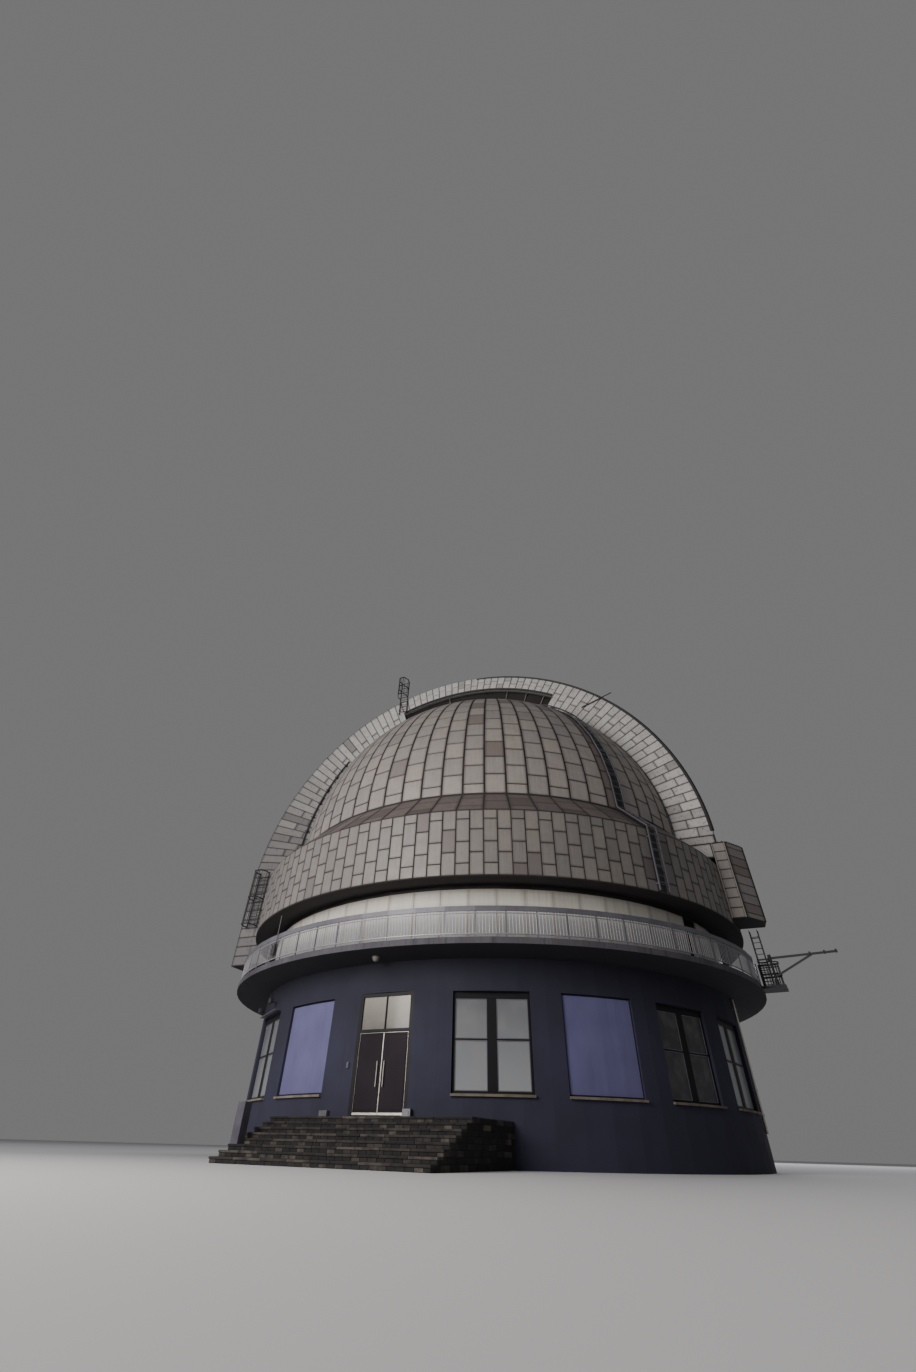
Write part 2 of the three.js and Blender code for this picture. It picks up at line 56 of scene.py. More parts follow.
def turnedBy(azimuth):  # gives the placing function for things that face an azimuth
    return lambda x, y, z: turned(azimuth, x, y, z)


def onDome(u, s, z):
    return turned(site["domeTurn"], u, -s, z)


# A bag collects faces with their place on the sheet in metres, their place in the panel and their tone
def newBag():
    return {"points": [], "faces": [], "sheet": [], "inPanel": [], "tone": []}


def addFace(bag, points, sheet=None, inPanel=None, tone=0.5):
    start = len(bag["points"])
    bag["points"].extend(points)
    bag["faces"].append(tuple(range(start, start + len(points))))
    bag["sheet"].extend(sheet or [(p[0] + p[1], p[2]) for p in points])
    bag["inPanel"].extend(inPanel or [(0.5, 0.5)] * len(points))
    bag["tone"].append(tone)


# A block with bevelled edges, set by place(x, y, z)
def addBlock(bag, low, high, place, bevel=0.005, tone=0.5):
    b = min(bevel, *(0.3 * (h - l) for l, h in zip(low, high)))
    ends = (low, high)

    def addSide(points, outward):
        points = [Vector(p) for p in points]
        if (points[1] - points[0]).cross(points[2] - points[0]).dot(Vector(outward)) < 0:
            points = points[::-1]
        addFace(bag, [place(*p) for p in points], [(p[0] + p[1], p[2]) for p in points], None, tone)

    for a, c, d in ((0, 1, 2), (1, 2, 0), (2, 0, 1)):
        for side in (0, 1):
            outward = [0, 0, 0]
            outward[d] = (-1, 1)[side]
            points = []
            for sa, sc in ((0, 0), (1, 0), (1, 1), (0, 1)):
                p = [0, 0, 0]
                p[a] = ends[sa][a] + (b, -b)[sa]
                p[c] = ends[sc][c] + (b, -b)[sc]
                p[d] = ends[side][d]
                points.append(p)
            addSide(points, outward)  # a flat side
            for sc in (0, 1):         # the bevel where sides a and c meet, along d
                outward = [0, 0, 0]
                outward[a], outward[c] = (-1, 1)[side], (-1, 1)[sc]
                points = []
                for insetA, insetC, sd in ((0, b, 0), (b, 0, 0), (b, 0, 1), (0, b, 1)):
                    p = [0, 0, 0]
                    p[a] = ends[side][a] + (insetA, -insetA)[side]
                    p[c] = ends[sc][c] + (insetC, -insetC)[sc]
                    p[d] = ends[sd][d] + (b, -b)[sd]
                    points.append(p)
                addSide(points, outward)
    for sx in (0, 1):
        for sy in (0, 1):
            for sz in (0, 1):
                corner = [ends[s][k] for k, s in enumerate((sx, sy, sz))]
                inward = [(b, -b)[s] for s in (sx, sy, sz)]
                points = [[corner[j] + (0 if j == k else inward[j]) for j in range(3)] for k in range(3)]
                addSide(points, [(-1, 1)[s] for s in (sx, sy, sz)])


# A sheet panel with folded edges, on a surface that maps (across, along, height) to a place. Its look has
# height and edge in metres, and gaps that it leaves at its ends. Size is its real one, in metres.
def addPanel(bag, surface, across, along, look, tone, size, acrossCuts=1, alongCuts=1):
    edge = look["edge"]
    gaps = look.get("gaps", (0, 0))
    across, along = ((low + gap, high - gap) for (low, high), gap in zip((across, along), gaps))

    def stations(low, high, inset, cuts):
        inner = [low + inset + (high - low - 2 * inset) * k / cuts for k in range(cuts + 1)]
        return [low, low] + inner + [high, high]

    ps = stations(*across, edge * (across[1] - across[0]) / size[0], acrossCuts)
    qs = stations(*along, edge * (along[1] - along[0]) / size[1], alongCuts)
    shoulder = 0.55  # share of the height that the sheet has where its fold begins
    liftP = [0, shoulder] + [1] * (acrossCuts + 1) + [shoulder, 0]
    liftQ = [0, shoulder] + [1] * (alongCuts + 1) + [shoulder, 0]
    shift = 17 * tone  # every panel shows another part of the pattern
    for i in range(len(ps) - 1):
        for j in range(len(qs) - 1):
            if i in (0, len(ps) - 2) and j in (0, len(qs) - 2):
                continue
            corners = [(i, j), (i + 1, j), (i + 1, j + 1), (i, j + 1)]
            points = [surface(ps[a], qs[b], look["height"] * min(liftP[a], liftQ[b])) for a, b in corners]
            inPanel = [((ps[a] - across[0]) / (across[1] - across[0]),
                        (qs[b] - along[0]) / (along[1] - along[0])) for a, b in corners]
            sheet = [(u * size[0] + shift, v * size[1] + shift) for u, v in inPanel]
            addFace(bag, points, sheet, inPanel, tone)


def panelTone(stainedShare):  # 0 to 1 lies between the two clean tones, 1 to 2 turns to the stained one
    return dice.random() + (1.1 if dice.random() < stainedShare else 0)


def addTube(bag, path, radius, sides=8, tone=0.5):
    path = [Vector(p) for p in path]
    rings = []
    for k, point in enumerate(path):
        way = (path[min(k + 1, len(path) - 1)] - path[max(k - 1, 0)]).normalized()
        side = way.cross(Vector((0, 0, 1)))
        side = side.normalized() if side.length > 1e-3 else Vector((1, 0, 0))
        top = side.cross(way).normalized()
        rings.append([point + radius * (math.cos(t) * side + math.sin(t) * top)
                      for t in (2 * math.pi * n / sides for n in range(sides))])
    for a, b in zip(rings, rings[1:]):
        for n in range(sides):
            addFace(bag, [a[n - 1], b[n - 1], b[n], a[n]], None, None, tone)
    addFace(bag, rings[0], None, None, tone)
    addFace(bag, rings[-1][::-1], None, None, tone)


def addPost(bag, radius, azimuth, ends, thick, sides=8):  # an upright tube between two heights
    addTube(bag, [polar(radius, azimuth, z) for z in ends], thick, sides)


# Sweeps a closed outline of (radius, z) points, counterclockwise, round the building's axis
def addSweep(bag, outline, azimuths, tone=0.5):
    rows = [[polar(r, a, z) for r, z in outline] for a in azimuths]
    for i in range(len(rows) - 1):
        run = 0.0
        for j, start in enumerate(outline):
            n = (j + 1) % len(outline)
            step = math.dist(start, outline[n])
            x0, x1 = (math.radians(azimuths[i + e]) * start[0] for e in (0, 1))
            addFace(bag, [rows[i][j], rows[i + 1][j], rows[i + 1][n], rows[i][n]],
                    [(x0, run), (x1, run), (x1, run + step), (x0, run + step)], None, tone)
            run += step
    addFace(bag, rows[0][::-1], None, None, tone)
    addFace(bag, rows[-1], None, None, tone)


def makePiece(name, bag, material, body, replaced=(), cutBy=()):
    mesh = bpy.data.meshes.new(name)
    mesh.from_pydata([tuple(p) for p in bag["points"]], [], bag["faces"])
    corners = [loop.vertex_index for loop in mesh.loops]
    for layer in ("sheet", "inPanel"):
        uv = mesh.uv_layers.new(name=layer)
        uv.data.foreach_set("uv", [value for corner in corners for value in bag[layer][corner]])
    mesh.attributes.new("tone", "FLOAT", "FACE").data.foreach_set("value", bag["tone"])
    work = bmesh.new()
    work.from_mesh(mesh)
    bmesh.ops.remove_doubles(work, verts=work.verts, dist=1e-5)
    bmesh.ops.dissolve_degenerate(work, edges=work.edges, dist=1e-6)
    for point, normal in cutBy:  # drops what lies on the side that the normal points to
        everything = work.verts[:] + work.edges[:] + work.faces[:]
        bmesh.ops.bisect_plane(work, geom=everything, dist=1e-6, plane_co=point, plane_no=normal,
                               clear_outer=True)
    work.to_mesh(mesh)
    work.free()
    mesh.materials.append(material)
    piece = bpy.data.objects.new(name, mesh)
    bpy.context.scene.collection.objects.link(piece)
    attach(piece, body)
    if replaced:
        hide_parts(*replaced)
    return piece


def linear(hexColour):  # sRGB hex to the linear colour that a socket takes
    parts = [int(hexColour[i:i + 2], 16) / 255 for i in (1, 3, 5)]
    return tuple(c / 12.92 if c <= 0.04045 else ((c + 0.055) / 1.055) ** 2.4 for c in parts) + (1,)


# Adds a shader node. A setting is one of its own values or a socket's value, a link is an output socket.
def addNode(tree, kind, settings=None, links=None):
    made = tree.nodes.new("ShaderNode" + kind)
    for key, value in (settings or {}).items():
        if isinstance(key, str) and hasattr(made, key):
            setattr(made, key, value)
        else:
            made.inputs[key].default_value = value
    for key, output in (links or {}).items():
        tree.links.new(output, made.inputs[key])
    return made


def newMaterial(name, shaderSettings):
    material = bpy.data.materials.new(name)
    material.use_nodes = True
    tree = material.node_tree
    tree.nodes.clear()
    shader = addNode(tree, "BsdfPrincipled", shaderSettings)
    addNode(tree, "OutputMaterial", None, {"Surface": shader.outputs["BSDF"]})
    return material, tree, shader


# Lays a colour over the one so far, as far as a pattern runs from start to stop
def layOver(tree, base, colour, pattern, start, stop, amount=1):
    share = addNode(tree, "MapRange", {"From Min": start, "From Max": stop, "To Max": amount},
                    {"Value": pattern})
    return addNode(tree, "Mix", {"data_type": "RGBA", 7: linear(colour)},
                   {0: share.outputs["Result"], 6: base.outputs[2]})


def connectSkin(tree, shader, colour, bump, rough=None):
    tree.links.new(colour.outputs[2], shader.inputs["Base Color"])
    tree.links.new(bump.outputs["Normal"], shader.inputs["Normal"])
    if rough:
        tree.links.new(rough.outputs["Result"], shader.inputs["Roughness"])


# Rolled sheet metal, folded at its edges and left to the weather. To the eye: a dull satin skin, each
# panel in its own tone, rain streaks that start at its top seam, grime with painted shade along the folds,
# soft dents, and on some sheets a painted shade over the lower part. Sizes are in millimetres.
def weatheredSheet(name, look):
    material, tree, shader = newMaterial(name, {"Metallic": look["metallic"]})
    sheet = addNode(tree, "UVMap", {"uv_map": "sheet"}).outputs["UV"]
    panel = addNode(tree, "UVMap", {"uv_map": "inPanel"}).outputs["UV"]
    place = addNode(tree, "SeparateXYZ", None, {"Vector": panel})
    tone = addNode(tree, "Attribute", {"attribute_name": "tone"}).outputs["Fac"]
    colour = addNode(tree, "Mix", {"data_type": "RGBA", 6: linear(look["clean"]), 7: linear(look["cool"])},
                     {0: tone})
    colour = layOver(tree, colour, look["worn"], tone, 1, 2)
    if "lowShade" in look:  # painted shade: the lower part of a panel is darker
        colour = layOver(tree, colour, look["lowShade"], place.outputs["Y"], 0.75, 0.5)
    patches = addNode(tree, "TexNoise", {"Scale": 1000 / look["patch"], "Detail": 5}, {"Vector": sheet})
    colour = layOver(tree, colour, look["worn"], patches.outputs["Fac"], 0.4, 0.75, look["blotch"])
    stretched = addNode(tree, "Mapping", {"Scale": (1000 / look["streak"], 0.6, 1)}, {"Vector": sheet})
    streaks = addNode(tree, "TexNoise", {"Scale": 1, "Detail": 3}, {"Vector": stretched.outputs["Vector"]})
    fromTop = addNode(tree, "MapRange", {"From Min": 0.1, "To Min": 0.12, "To Max": 0.5},
                      {"Value": place.outputs["Y"]})
    rain = addNode(tree, "MapRange", {"From Min": 0.48, "From Max": 0.8}, {"Value": streaks.outputs["Fac"]})
    amount = addNode(tree, "Math", {"operation": "MULTIPLY"},
                     {0: rain.outputs["Result"], 1: fromTop.outputs["Result"]})
    colour = addNode(tree, "Mix", {"data_type": "RGBA", 7: linear(look["grime"])},
                     {0: amount.outputs["Value"], 6: colour.outputs[2]})
    lichen = addNode(tree, "TexNoise", {"Scale": 1000 / 160, "Detail": 5, "Roughness": 0.7},
                     {"Vector": sheet})
    colour = layOver(tree, colour, look["seam"], lichen.outputs["Fac"], 0.56, 0.66, look["spots"])
    ragged = addNode(tree, "TexNoise", {"Scale": 1000 / 90, "Detail": 3}, {"Vector": sheet})
    for axis, start in (("X", 0.4), ("Y", 0.44)):  # grime and painted shade creep in from the folds on both sides
        centred = addNode(tree, "Math", {"operation": "SUBTRACT", 1: 0.5}, {0: place.outputs[axis]})
        away = addNode(tree, "Math", {"operation": "ABSOLUTE"}, {0: centred.outputs["Value"]})
        foldGrimeAndShade = addNode(tree, "Math", {"operation": "MULTIPLY_ADD", 1: 0.05},
                        {0: ragged.outputs["Fac"], 2: away.outputs["Value"]})
        colour = layOver(tree, colour, look["seam"], foldGrimeAndShade.outputs["Value"], start, 0.54, 0.62)
    rough = addNode(tree, "MapRange",
                    {"To Min": look["roughness"] - 0.06, "To Max": look["roughness"] + 0.14},
                    {"Value": patches.outputs["Fac"]})
    dents = addNode(tree, "TexNoise", {"Scale": 1000 / look["dent"], "Detail": 1}, {"Vector": sheet})
    soft = addNode(tree, "Bump", {"Strength": 0.3, "Distance": 0.03}, {"Height": dents.outputs["Fac"]})
    fine = addNode(tree, "Bump", {"Strength": 0.15, "Distance": 0.003},
                   {"Height": streaks.outputs["Fac"], "Normal": soft.outputs["Normal"]})
    connectSkin(tree, shader, colour, fine, rough)
    return material


# A coat of paint or render, or cast stuff. To the eye: one colour in soft blotches, thin dark runs below
# ledges, a darker second colour where it faces down and a darker band below the balcony, both painted shade,
# and the skin that roller, trowel or mould leaves. Sizes are in millimetres, the depth of the skin in metres.
def coatedSurface(name, look):
    material, tree, shader = newMaterial(name, {"Metallic": look.get("metallic", 0),
                                                "Specular IOR Level": look.get("gloss", 0.5)})
    where = addNode(tree, "TexCoord").outputs["Object"]
    patches = addNode(tree, "TexNoise", {"Scale": 1000 / look["patch"], "Detail": 6}, {"Vector": where})
    faded = addNode(tree, "MapRange", {"From Min": 0.35, "From Max": 0.7},
                    {"Value": patches.outputs["Fac"]})
    colour = addNode(tree, "Mix", {"data_type": "RGBA", 6: linear(look["colour"]), 7: linear(look["faded"])},
                     {0: faded.outputs["Result"]})
    tall = addNode(tree, "Mapping", {"Scale": (1000 / look["run"], 1000 / look["run"], 0.35)},
                   {"Vector": where})
    runs = addNode(tree, "TexNoise", {"Scale": 1, "Detail": 4}, {"Vector": tall.outputs["Vector"]})
    colour = layOver(tree, colour, look["runColour"], runs.outputs["Fac"], 0.52, 0.8, look["runAmount"])
    # painted shade: faces that look down take the darker under colour
    if "under" in look:
        face = addNode(tree, "NewGeometry")
        normal = addNode(tree, "SeparateXYZ", None, {"Vector": face.outputs["Normal"]})
        colour = layOver(tree, colour, look["under"], normal.outputs["Z"], -0.4, -0.8)
    if "inside" in look:  # faces that look towards the middle of the dome, 11.5 m above the ground
        face = addNode(tree, "NewGeometry")
        fromMiddle = addNode(tree, "VectorMath", {"operation": "SUBTRACT", 1: (0, 0, 11.5)}, {0: where})
        outward = addNode(tree, "VectorMath", {"operation": "DOT_PRODUCT"},
                          {0: fromMiddle.outputs["Vector"], 1: face.outputs["Normal"]})
        colour = layOver(tree, colour, look["inside"], outward.outputs["Value"], -1, -2)
    if "shadeBelowBalcony" in look:  # painted shade below the balcony, darker from 3 m up to its underside at 5.4 m
        place = addNode(tree, "SeparateXYZ", None, {"Vector": where})
        colour = layOver(tree, colour, look["shadeBelowBalcony"], place.outputs["Z"], 3, 5.4)
    rough = addNode(tree, "MapRange",
                    {"To Min": look["roughness"] - 0.08, "To Max": min(look["roughness"] + 0.08, 1)},
                    {"Value": patches.outputs["Fac"]})
    skin = addNode(tree, "TexNoise", {"Scale": 1000 / look["grain"], "Detail": 3}, {"Vector": where})
    bump = addNode(tree, "Bump", {"Strength": 0.4, "Distance": look["depth"]},
                   {"Height": skin.outputs["Fac"]})
    connectSkin(tree, shader, colour, bump, rough)
    return material


# Stone or brick, cut and left outdoors. To the eye: each block in its own tone, pale worn tops, dark
# stains and lichen in patches, pits of the cut face.
def weatheredStone(name, look):
    material, tree, shader = newMaterial(name, {"Roughness": look["roughness"]})
    where = addNode(tree, "TexCoord").outputs["Object"]
    tone = addNode(tree, "Attribute", {"attribute_name": "tone"})
    colour = addNode(tree, "Mix", {"data_type": "RGBA", 6: linear(look["light"]), 7: linear(look["dark"])},
                     {0: tone.outputs["Fac"]})
    stains = addNode(tree, "TexNoise", {"Scale": 1000 / look["stain"], "Detail": 6}, {"Vector": where})
    colour = layOver(tree, colour, look["stainColour"], stains.outputs["Fac"], 0.42, 0.68, 0.85)
    face = addNode(tree, "NewGeometry")
    normal = addNode(tree, "SeparateXYZ", None, {"Vector": face.outputs["Normal"]})
    colour = layOver(tree, colour, look["worn"], normal.outputs["Z"], 0.3, 0.9, 0.55)
    pits = addNode(tree, "TexNoise", {"Scale": 1000 / look["pit"], "Detail": 4}, {"Vector": where})
    bump = addNode(tree, "Bump", {"Strength": 0.6, "Distance": 0.012}, {"Height": pits.outputs["Fac"]})
    connectSkin(tree, shader, colour, bump)
    return material


# Float glass with a drawn blind behind it. To the eye: a flat even light that fades to the top, dust
# in patches, and a gloss that the panes alone have here.
def blindGlass(name, look):
    material, tree, shader = newMaterial(name, {"IOR": 1.52, "Coat Weight": 0.4, "Coat Roughness": 0.08})
    where = addNode(tree, "TexCoord").outputs["Object"]
    place = addNode(tree, "SeparateXYZ", None, {"Vector": where})
    height = addNode(tree, "MapRange", {"From Min": look["low"], "From Max": look["high"]},
                     {"Value": place.outputs["Z"]})
    colour = addNode(tree, "Mix", {"data_type": "RGBA", 6: linear(look["bottom"]), 7: linear(look["top"])},
                     {0: height.outputs["Result"]})
    dust = addNode(tree, "TexNoise", {"Scale": 1000 / 500, "Detail": 5}, {"Vector": where})
    colour = layOver(tree, colour, look["dust"], dust.outputs["Fac"], 0.45, 0.8, 0.3)
    rough = addNode(tree, "MapRange", {"To Min": 0.25, "To Max": 0.5}, {"Value": dust.outputs["Fac"]})
    tree.links.new(colour.outputs[2], shader.inputs["Base Color"])
    tree.links.new(rough.outputs["Result"], shader.inputs["Roughness"])
    return material


print("materials")
# Seam is the dark of the lichen spots and of the grime and painted shade at the folds
sheetLook = {"clean": "#a39c97", "cool": "#969190", "worn": "#7e7471", "grime": "#655d5a", "seam": "#352e2f",
             "metallic": 0.15, "roughness": 0.48, "patch": 420, "blotch": 0.3, "streak": 50, "dent": 700,
             "spots": 0.1}
domeSheet = weatheredSheet("weatheredAluminiumSheet", sheetLook)
# The same sheet on the upright skirt, duller
skirtSheet = weatheredSheet("dulledAluminiumSheet", {**sheetLook, "clean": "#86807c", "cool": "#7b7876",
                                                     "worn": "#686060", "grime": "#524b49"})
# The same sheet on the ledge, where dust and water settle: browner and duller
ledgeSheet = weatheredSheet("brownedAluminiumSheet", {**sheetLook, "clean": "#736967", "cool": "#675f5d",
                                                      "worn": "#574f4e", "grime": "#473f3e",
                                                      "roughness": 0.58})
# The sheet of the arch stands upright and stays paler, with dark spots of lichen
archSheet = weatheredSheet("paleAluminiumSheet", {**sheetLook, "clean": "#dcdad8", "cool": "#7c7a7a",
                                                  "worn": "#8a8582", "grime": "#7c7673", "roughness": 0.46,
                                                  "spots": 0.55})
# Baked enamel on pressed steel panels: cream, smooth, a little gloss, with painted shade on their lower part
creamEnamel = weatheredSheet("creamBakedEnamel", {**sheetLook, "clean": "#d3d0c8", "cool": "#c8c5be",
                                                  "worn": "#bdb8ac", "grime": "#a39c90", "seam": "#958e83",
                                                  "metallic": 0, "roughness": 0.42, "patch": 900,
                                                  "streak": 90, "dent": 1500, "spots": 0,
                                                  "lowShade": "#a3a4a6"})
paintLook = {"faded": "#282738", "runColour": "#201f2e", "roughness": 0.85, "patch": 1100, "run": 140,
             "runAmount": 0.35, "grain": 30, "depth": 0.006}
# Masonry paint rolled on trowelled render: slate blue, matt, with a pebbly skin and a painted shade below the
# balcony
wallPaint = coatedSurface("rolledMasonryPaint", {**paintLook, "colour": "#2c2c41", "shadeBelowBalcony": "#1b1b2a"})
# Cast concrete with old paint: grey with dark streaks on its rim, and nearly black underneath, a painted
# shade
slabConcrete = coatedSurface("castConcrete", {**paintLook, "colour": "#55525a", "faded": "#424047",
                                              "runColour": "#242226", "run": 90, "runAmount": 0.85,
                                              "under": "#24242b"})
# Bitumen brushed on steel, the dark that shows in every seam: black, dull. The same black is painted shade
# under the skirt and in the arch's recess. Inside, the bare lining is grey.
seamBitumenAndShade = coatedSurface("brushedBitumen", {**paintLook, "colour": "#2a2627", "faded": "#332e2f",
                                               "runColour": "#1d1b1b", "grain": 60, "inside": "#8d8c88"})
# Enamel sprayed on the frame behind the cream panels: beige, dull
creamFrame = coatedSurface("sprayedCreamPaint", {**paintLook, "colour": "#a39a87", "faded": "#968d7b",
                                                 "runColour": "#857c6b", "roughness": 0.6})
# Board painted with a roller: pale lilac, flat
boardPaint = coatedSurface("rolledBoardPaint", {**paintLook, "colour": "#615f87", "faded": "#57557d",
                                               "runColour": "#434262", "roughness": 0.6, "runAmount": 0.3})
# Masonry post with lime wash brushed on: lilac grey, chalky, runs below the top
postPaint = coatedSurface("brushedLimeWash", {**paintLook, "colour": "#575460", "faded": "#484550",
                                              "runColour": "#2f2d34", "roughness": 0.9, "patch": 300,
                                              "runAmount": 0.6})
# Galvanised steel under grey paint, brushed on: mid grey with a soft sheen
railPaint = coatedSurface("brushedGreyPaint", {**paintLook, "colour": "#6d6c74", "faded": "#5f5e66",
                                               "runColour": "#454349", "roughness": 0.45, "metallic": 0.3,
                                               "grain": 25, "depth": 0.002})
# The same steel on the balusters, paler: a painted highlight
litBarPaint = coatedSurface("sprayedPaleGreyPaint", {**paintLook, "colour": "#96959b", "faded": "#85848b",
                                                  "runColour": "#5d5b61", "roughness": 0.45, "metallic": 0.3,
                                                  "grain": 25, "depth": 0.002})
# Hot-rolled steel with worn black paint: nearly black, rust along the runs
blackSteel = coatedSurface("wornBlackSteel", {**paintLook, "colour": "#2e2d31", "faded": "#38353a",
                                              "runColour": "#5a4235", "roughness": 0.55, "metallic": 0.3,
                                              "run": 60, "grain": 40, "depth": 0.003})
# Door steel with sprayed paint: dark brown with a violet cast, smooth
doorPaint = coatedSurface("sprayedBrownPaint", {**paintLook, "colour": "#1f151f", "faded": "#1a121a",
                                                "runColour": "#110b12", "roughness": 0.62, "gloss": 0.2,
                                                "grain": 8, "depth": 0.0005})
# Anodised aluminium sections, extruded: black, satin
darkAnodised = coatedSurface("extrudedAnodisedAluminium", {**paintLook, "colour": "#17161b",
                                                           "faded": "#121217", "runColour": "#0d0d11",
                                                           "roughness": 0.5, "gloss": 0.2, "grain": 20,
                                                           "depth": 0.0005})
# Stainless steel, brushed: bright and soft, on handles, stiles and edge strips
brushedSteel = coatedSurface("brushedStainlessSteel", {**paintLook, "colour": "#d9d5cd", "faded": "#c9c5bd",
                                                       "runColour": "#a19c94", "roughness": 0.3,
                                                       "metallic": 0.85, "grain": 10, "depth": 0.0005})
# Sills of cut limestone: pale, fine grained
limestone = weatheredStone("sawnLimestone", {"light": "#80776d", "dark": "#6f665a", "stain": 350,
                                             "stainColour": "#5a5145", "worn": "#8b8176", "roughness": 0.8,
                                             "pit": 25})
# Granite treads, split and trodden: brown-grey with dark stains and pale edges, all darkened as painted shade
# of the stairs' shadow
shadedGranite = weatheredStone("splitGranite", {"light": "#564f4a", "dark": "#1c1a1b", "stain": 260,
                                          "stainColour": "#121113", "worn": "#3a3736", "roughness": 0.9,
                                          "pit": 22})
# Cement mortar, pressed into the joints: dark grey, sandy
mortar = coatedSurface("pressedMortar", {**paintLook, "colour": "#1b191a", "faded": "#211f1f",
                                         "runColour": "#141213", "roughness": 0.95, "grain": 15})
paneLook = {"low": 1.6, "high": 4.3, "bottom": "#8a8e93", "top": "#5f6167", "dust": "#8c8983"}
paleGlass = blindGlass("floatGlassWithBlind", paneLook)
darkGlass = blindGlass("floatGlassDarkRoom", {**paneLook, "bottom": "#262730", "top": "#18181e"})
creamGlass = blindGlass("frostedCreamGlass", {**paneLook, "low": 3.3, "high": 4.25, "bottom": "#46403a",
                                              "top": "#7f7a70"})

print("carried CAD nodes")
finishes = (
    (wallPaint, ["plinth", "lintel"] + [f"wall_{k}" for k in range(1, 7)]),
    (creamFrame, [f"upper_wall_{k}" for k in range(1, 4)]),
    (railPaint, ["dome_ladder"] + [f"railing_{k}" for k in range(1, 6)]),
    (mortar, ["landing"] + [f"step_{k}" for k in range(1, 8)]),
    (blackSteel, ["track_ring", "platform", "platform_railing", "access_ladder", "jib_base", "jib_boom",
                  "foot_ladder", "top_ladder"]),
    (slabConcrete, ["balcony_slab"]), (creamGlass, ["transom_glass"]), (darkAnodised, ["door_frame"]),
    (doorPaint, ["balcony_door"]), (postPaint, ["side_pillar"])
)
nodeFinish = {name: finish for finish, names in finishes for name in names}
for name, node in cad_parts.items():
    node.data.materials.clear()
    node.data.materials.append(nodeFinish.get(name, seamBitumenAndShade))

print("skirt panels")
# 144 columns of sheets in running bond. Joints are heights in metres, stain gives the azimuths of a darker
# band beside the ladder.
skirt = {"radius": 11.602, "low": 7.625, "high": 10.085, "first": -1.4, "columns": 144, "step": 2.5,
         "gap": 0.034, "joint": 0.026, "bond": ([8.05, 8.85, 9.73], [8.45, 9.32]), "width": 0.47,
         "height": 0.016, "edge": 0.012, "stained": 0.07, "stain": (28, 34)}


def onFacets(first, step, azimuth, radius, z):  # a place on the flat facet that the azimuth falls in
    low = first + step * math.floor((azimuth - first) / step + 1e-6)
    return polar(radius, low, z).lerp(polar(radius, low + step, z), (azimuth - low) / step)


# Dome panels stop just short of the arch's sides, 3.1 m from its middle. At the rear, skirt and ledge also
# have panels from the far side, s of farEnd, up to the hood, outside of the roof's end at u of start.
def makeBesideArch(name, bag, material, rear=None, clear=3.11, hoodSide=1.49):
    for side, label in ((1, "near"), (-1, "far")):
        makePiece(f"{name}_{label}", bag, material, "dome",
                  cutBy=[(onDome(0, side * clear, 0), onDome(0, -side, 0))])
    if rear:
        start, farEnd = rear
        makePiece(f"{name}_rear", bag, material, "dome",
                  cutBy=[(onDome(start, 0, 0), onDome(-1, 0, 0)), (onDome(0, hoodSide, 0), onDome(0, 1, 0)),
                         (onDome(0, farEnd, 0), onDome(0, -1, 0))])


def skirtSurface(azimuth, z, height):
    return onFacets(skirt["first"], skirt["step"], azimuth, skirt["radius"] + height, z)


bag = newBag()
skirt["gaps"] = (math.degrees(skirt["gap"] / skirt["radius"]) / 2, skirt["joint"] / 2)
for k in range(skirt["columns"]):
    left = skirt["first"] + skirt["step"] * k
    cuts = [skirt["low"]] + skirt["bond"][k % 2] + [skirt["high"]]
    for z0, z1 in zip(cuts, cuts[1:]):
        tone = panelTone(skirt["stained"]) + (1 if skirt["stain"][0] < left < skirt["stain"][1] else 0)
        addPanel(bag, skirtSurface, (left, left + skirt["step"]), (z0, z1), skirt, tone,
                 (skirt["width"], z1 - z0))
makeBesideArch("skirtPanels", bag, skirtSheet, (5, -3.11))

print("ledge panels")
# The sloping ledge from low to high, each a radius and a height. Cuts are fractions of its slope.
ledge = {"low": (11.602, 10.1), "high": (10.275, 11.455), "columns": 72, "step": 5, "gaps": (0.14, 0.006),
         "cuts": ([0.01, 0.52, 0.985], [0.01, 0.23, 0.73, 0.985]), "width": 0.95, "slope": 1.9,
         "height": 0.014, "edge": 0.014, "stained": 0.2, "stain": (26, 34), "up": (0.71, 0.7)}


def ledgeSurface(azimuth, t, height):
    radius = ledge["low"][0] + (ledge["high"][0] - ledge["low"][0]) * t + ledge["up"][0] * height
    z = ledge["low"][1] + (ledge["high"][1] - ledge["low"][1]) * t + ledge["up"][1] * height
    return onFacets(skirt["first"], ledge["step"], azimuth, radius, z)


bag = newBag()
for k in range(ledge["columns"]):
    left = skirt["first"] + ledge["step"] * k
    for t0, t1 in zip(ledge["cuts"][k % 2], ledge["cuts"][k % 2][1:]):
        tone = panelTone(ledge["stained"]) + (1 if ledge["stain"][0] < left < ledge["stain"][1] else 0)
        addPanel(bag, ledgeSurface, (left, left + ledge["step"]), (t0, t1), ledge, tone,
                 (ledge["width"], ledge["slope"] * (t1 - t0)))
makeBesideArch("ledgePanels", bag, ledgeSheet, (11.065, -2.74))

print("dome panels")
# 72 gores; every second one starts with a half panel. Angles are elevations seen from the sphere's centre.
# Joints differ by up to half of jitter. Stain is the middle and half width of a darker band beside the
# ladder.
gore = {"radius": 10.263, "centre": 11.5, "columns": 72, "step": 5, "start": 0.1, "panel": 5.3, "half": 2.6,
        "top": 76, "jitter": 0.07, "seam": 0.07, "joint": 0.03, "height": 0.018, "edge": 0.014,
        "stained": 0.06, "stain": (31, 4.5), "widthPerRadius": 0.087, "metresPerDegree": 0.179}


def goreSurface(azimuth, elevation, height):
    angle = math.radians(elevation)
    reach = gore["radius"] + height
    return onFacets(skirt["first"], gore["step"], azimuth, reach * math.cos(angle),
                    gore["centre"] + reach * math.sin(angle))


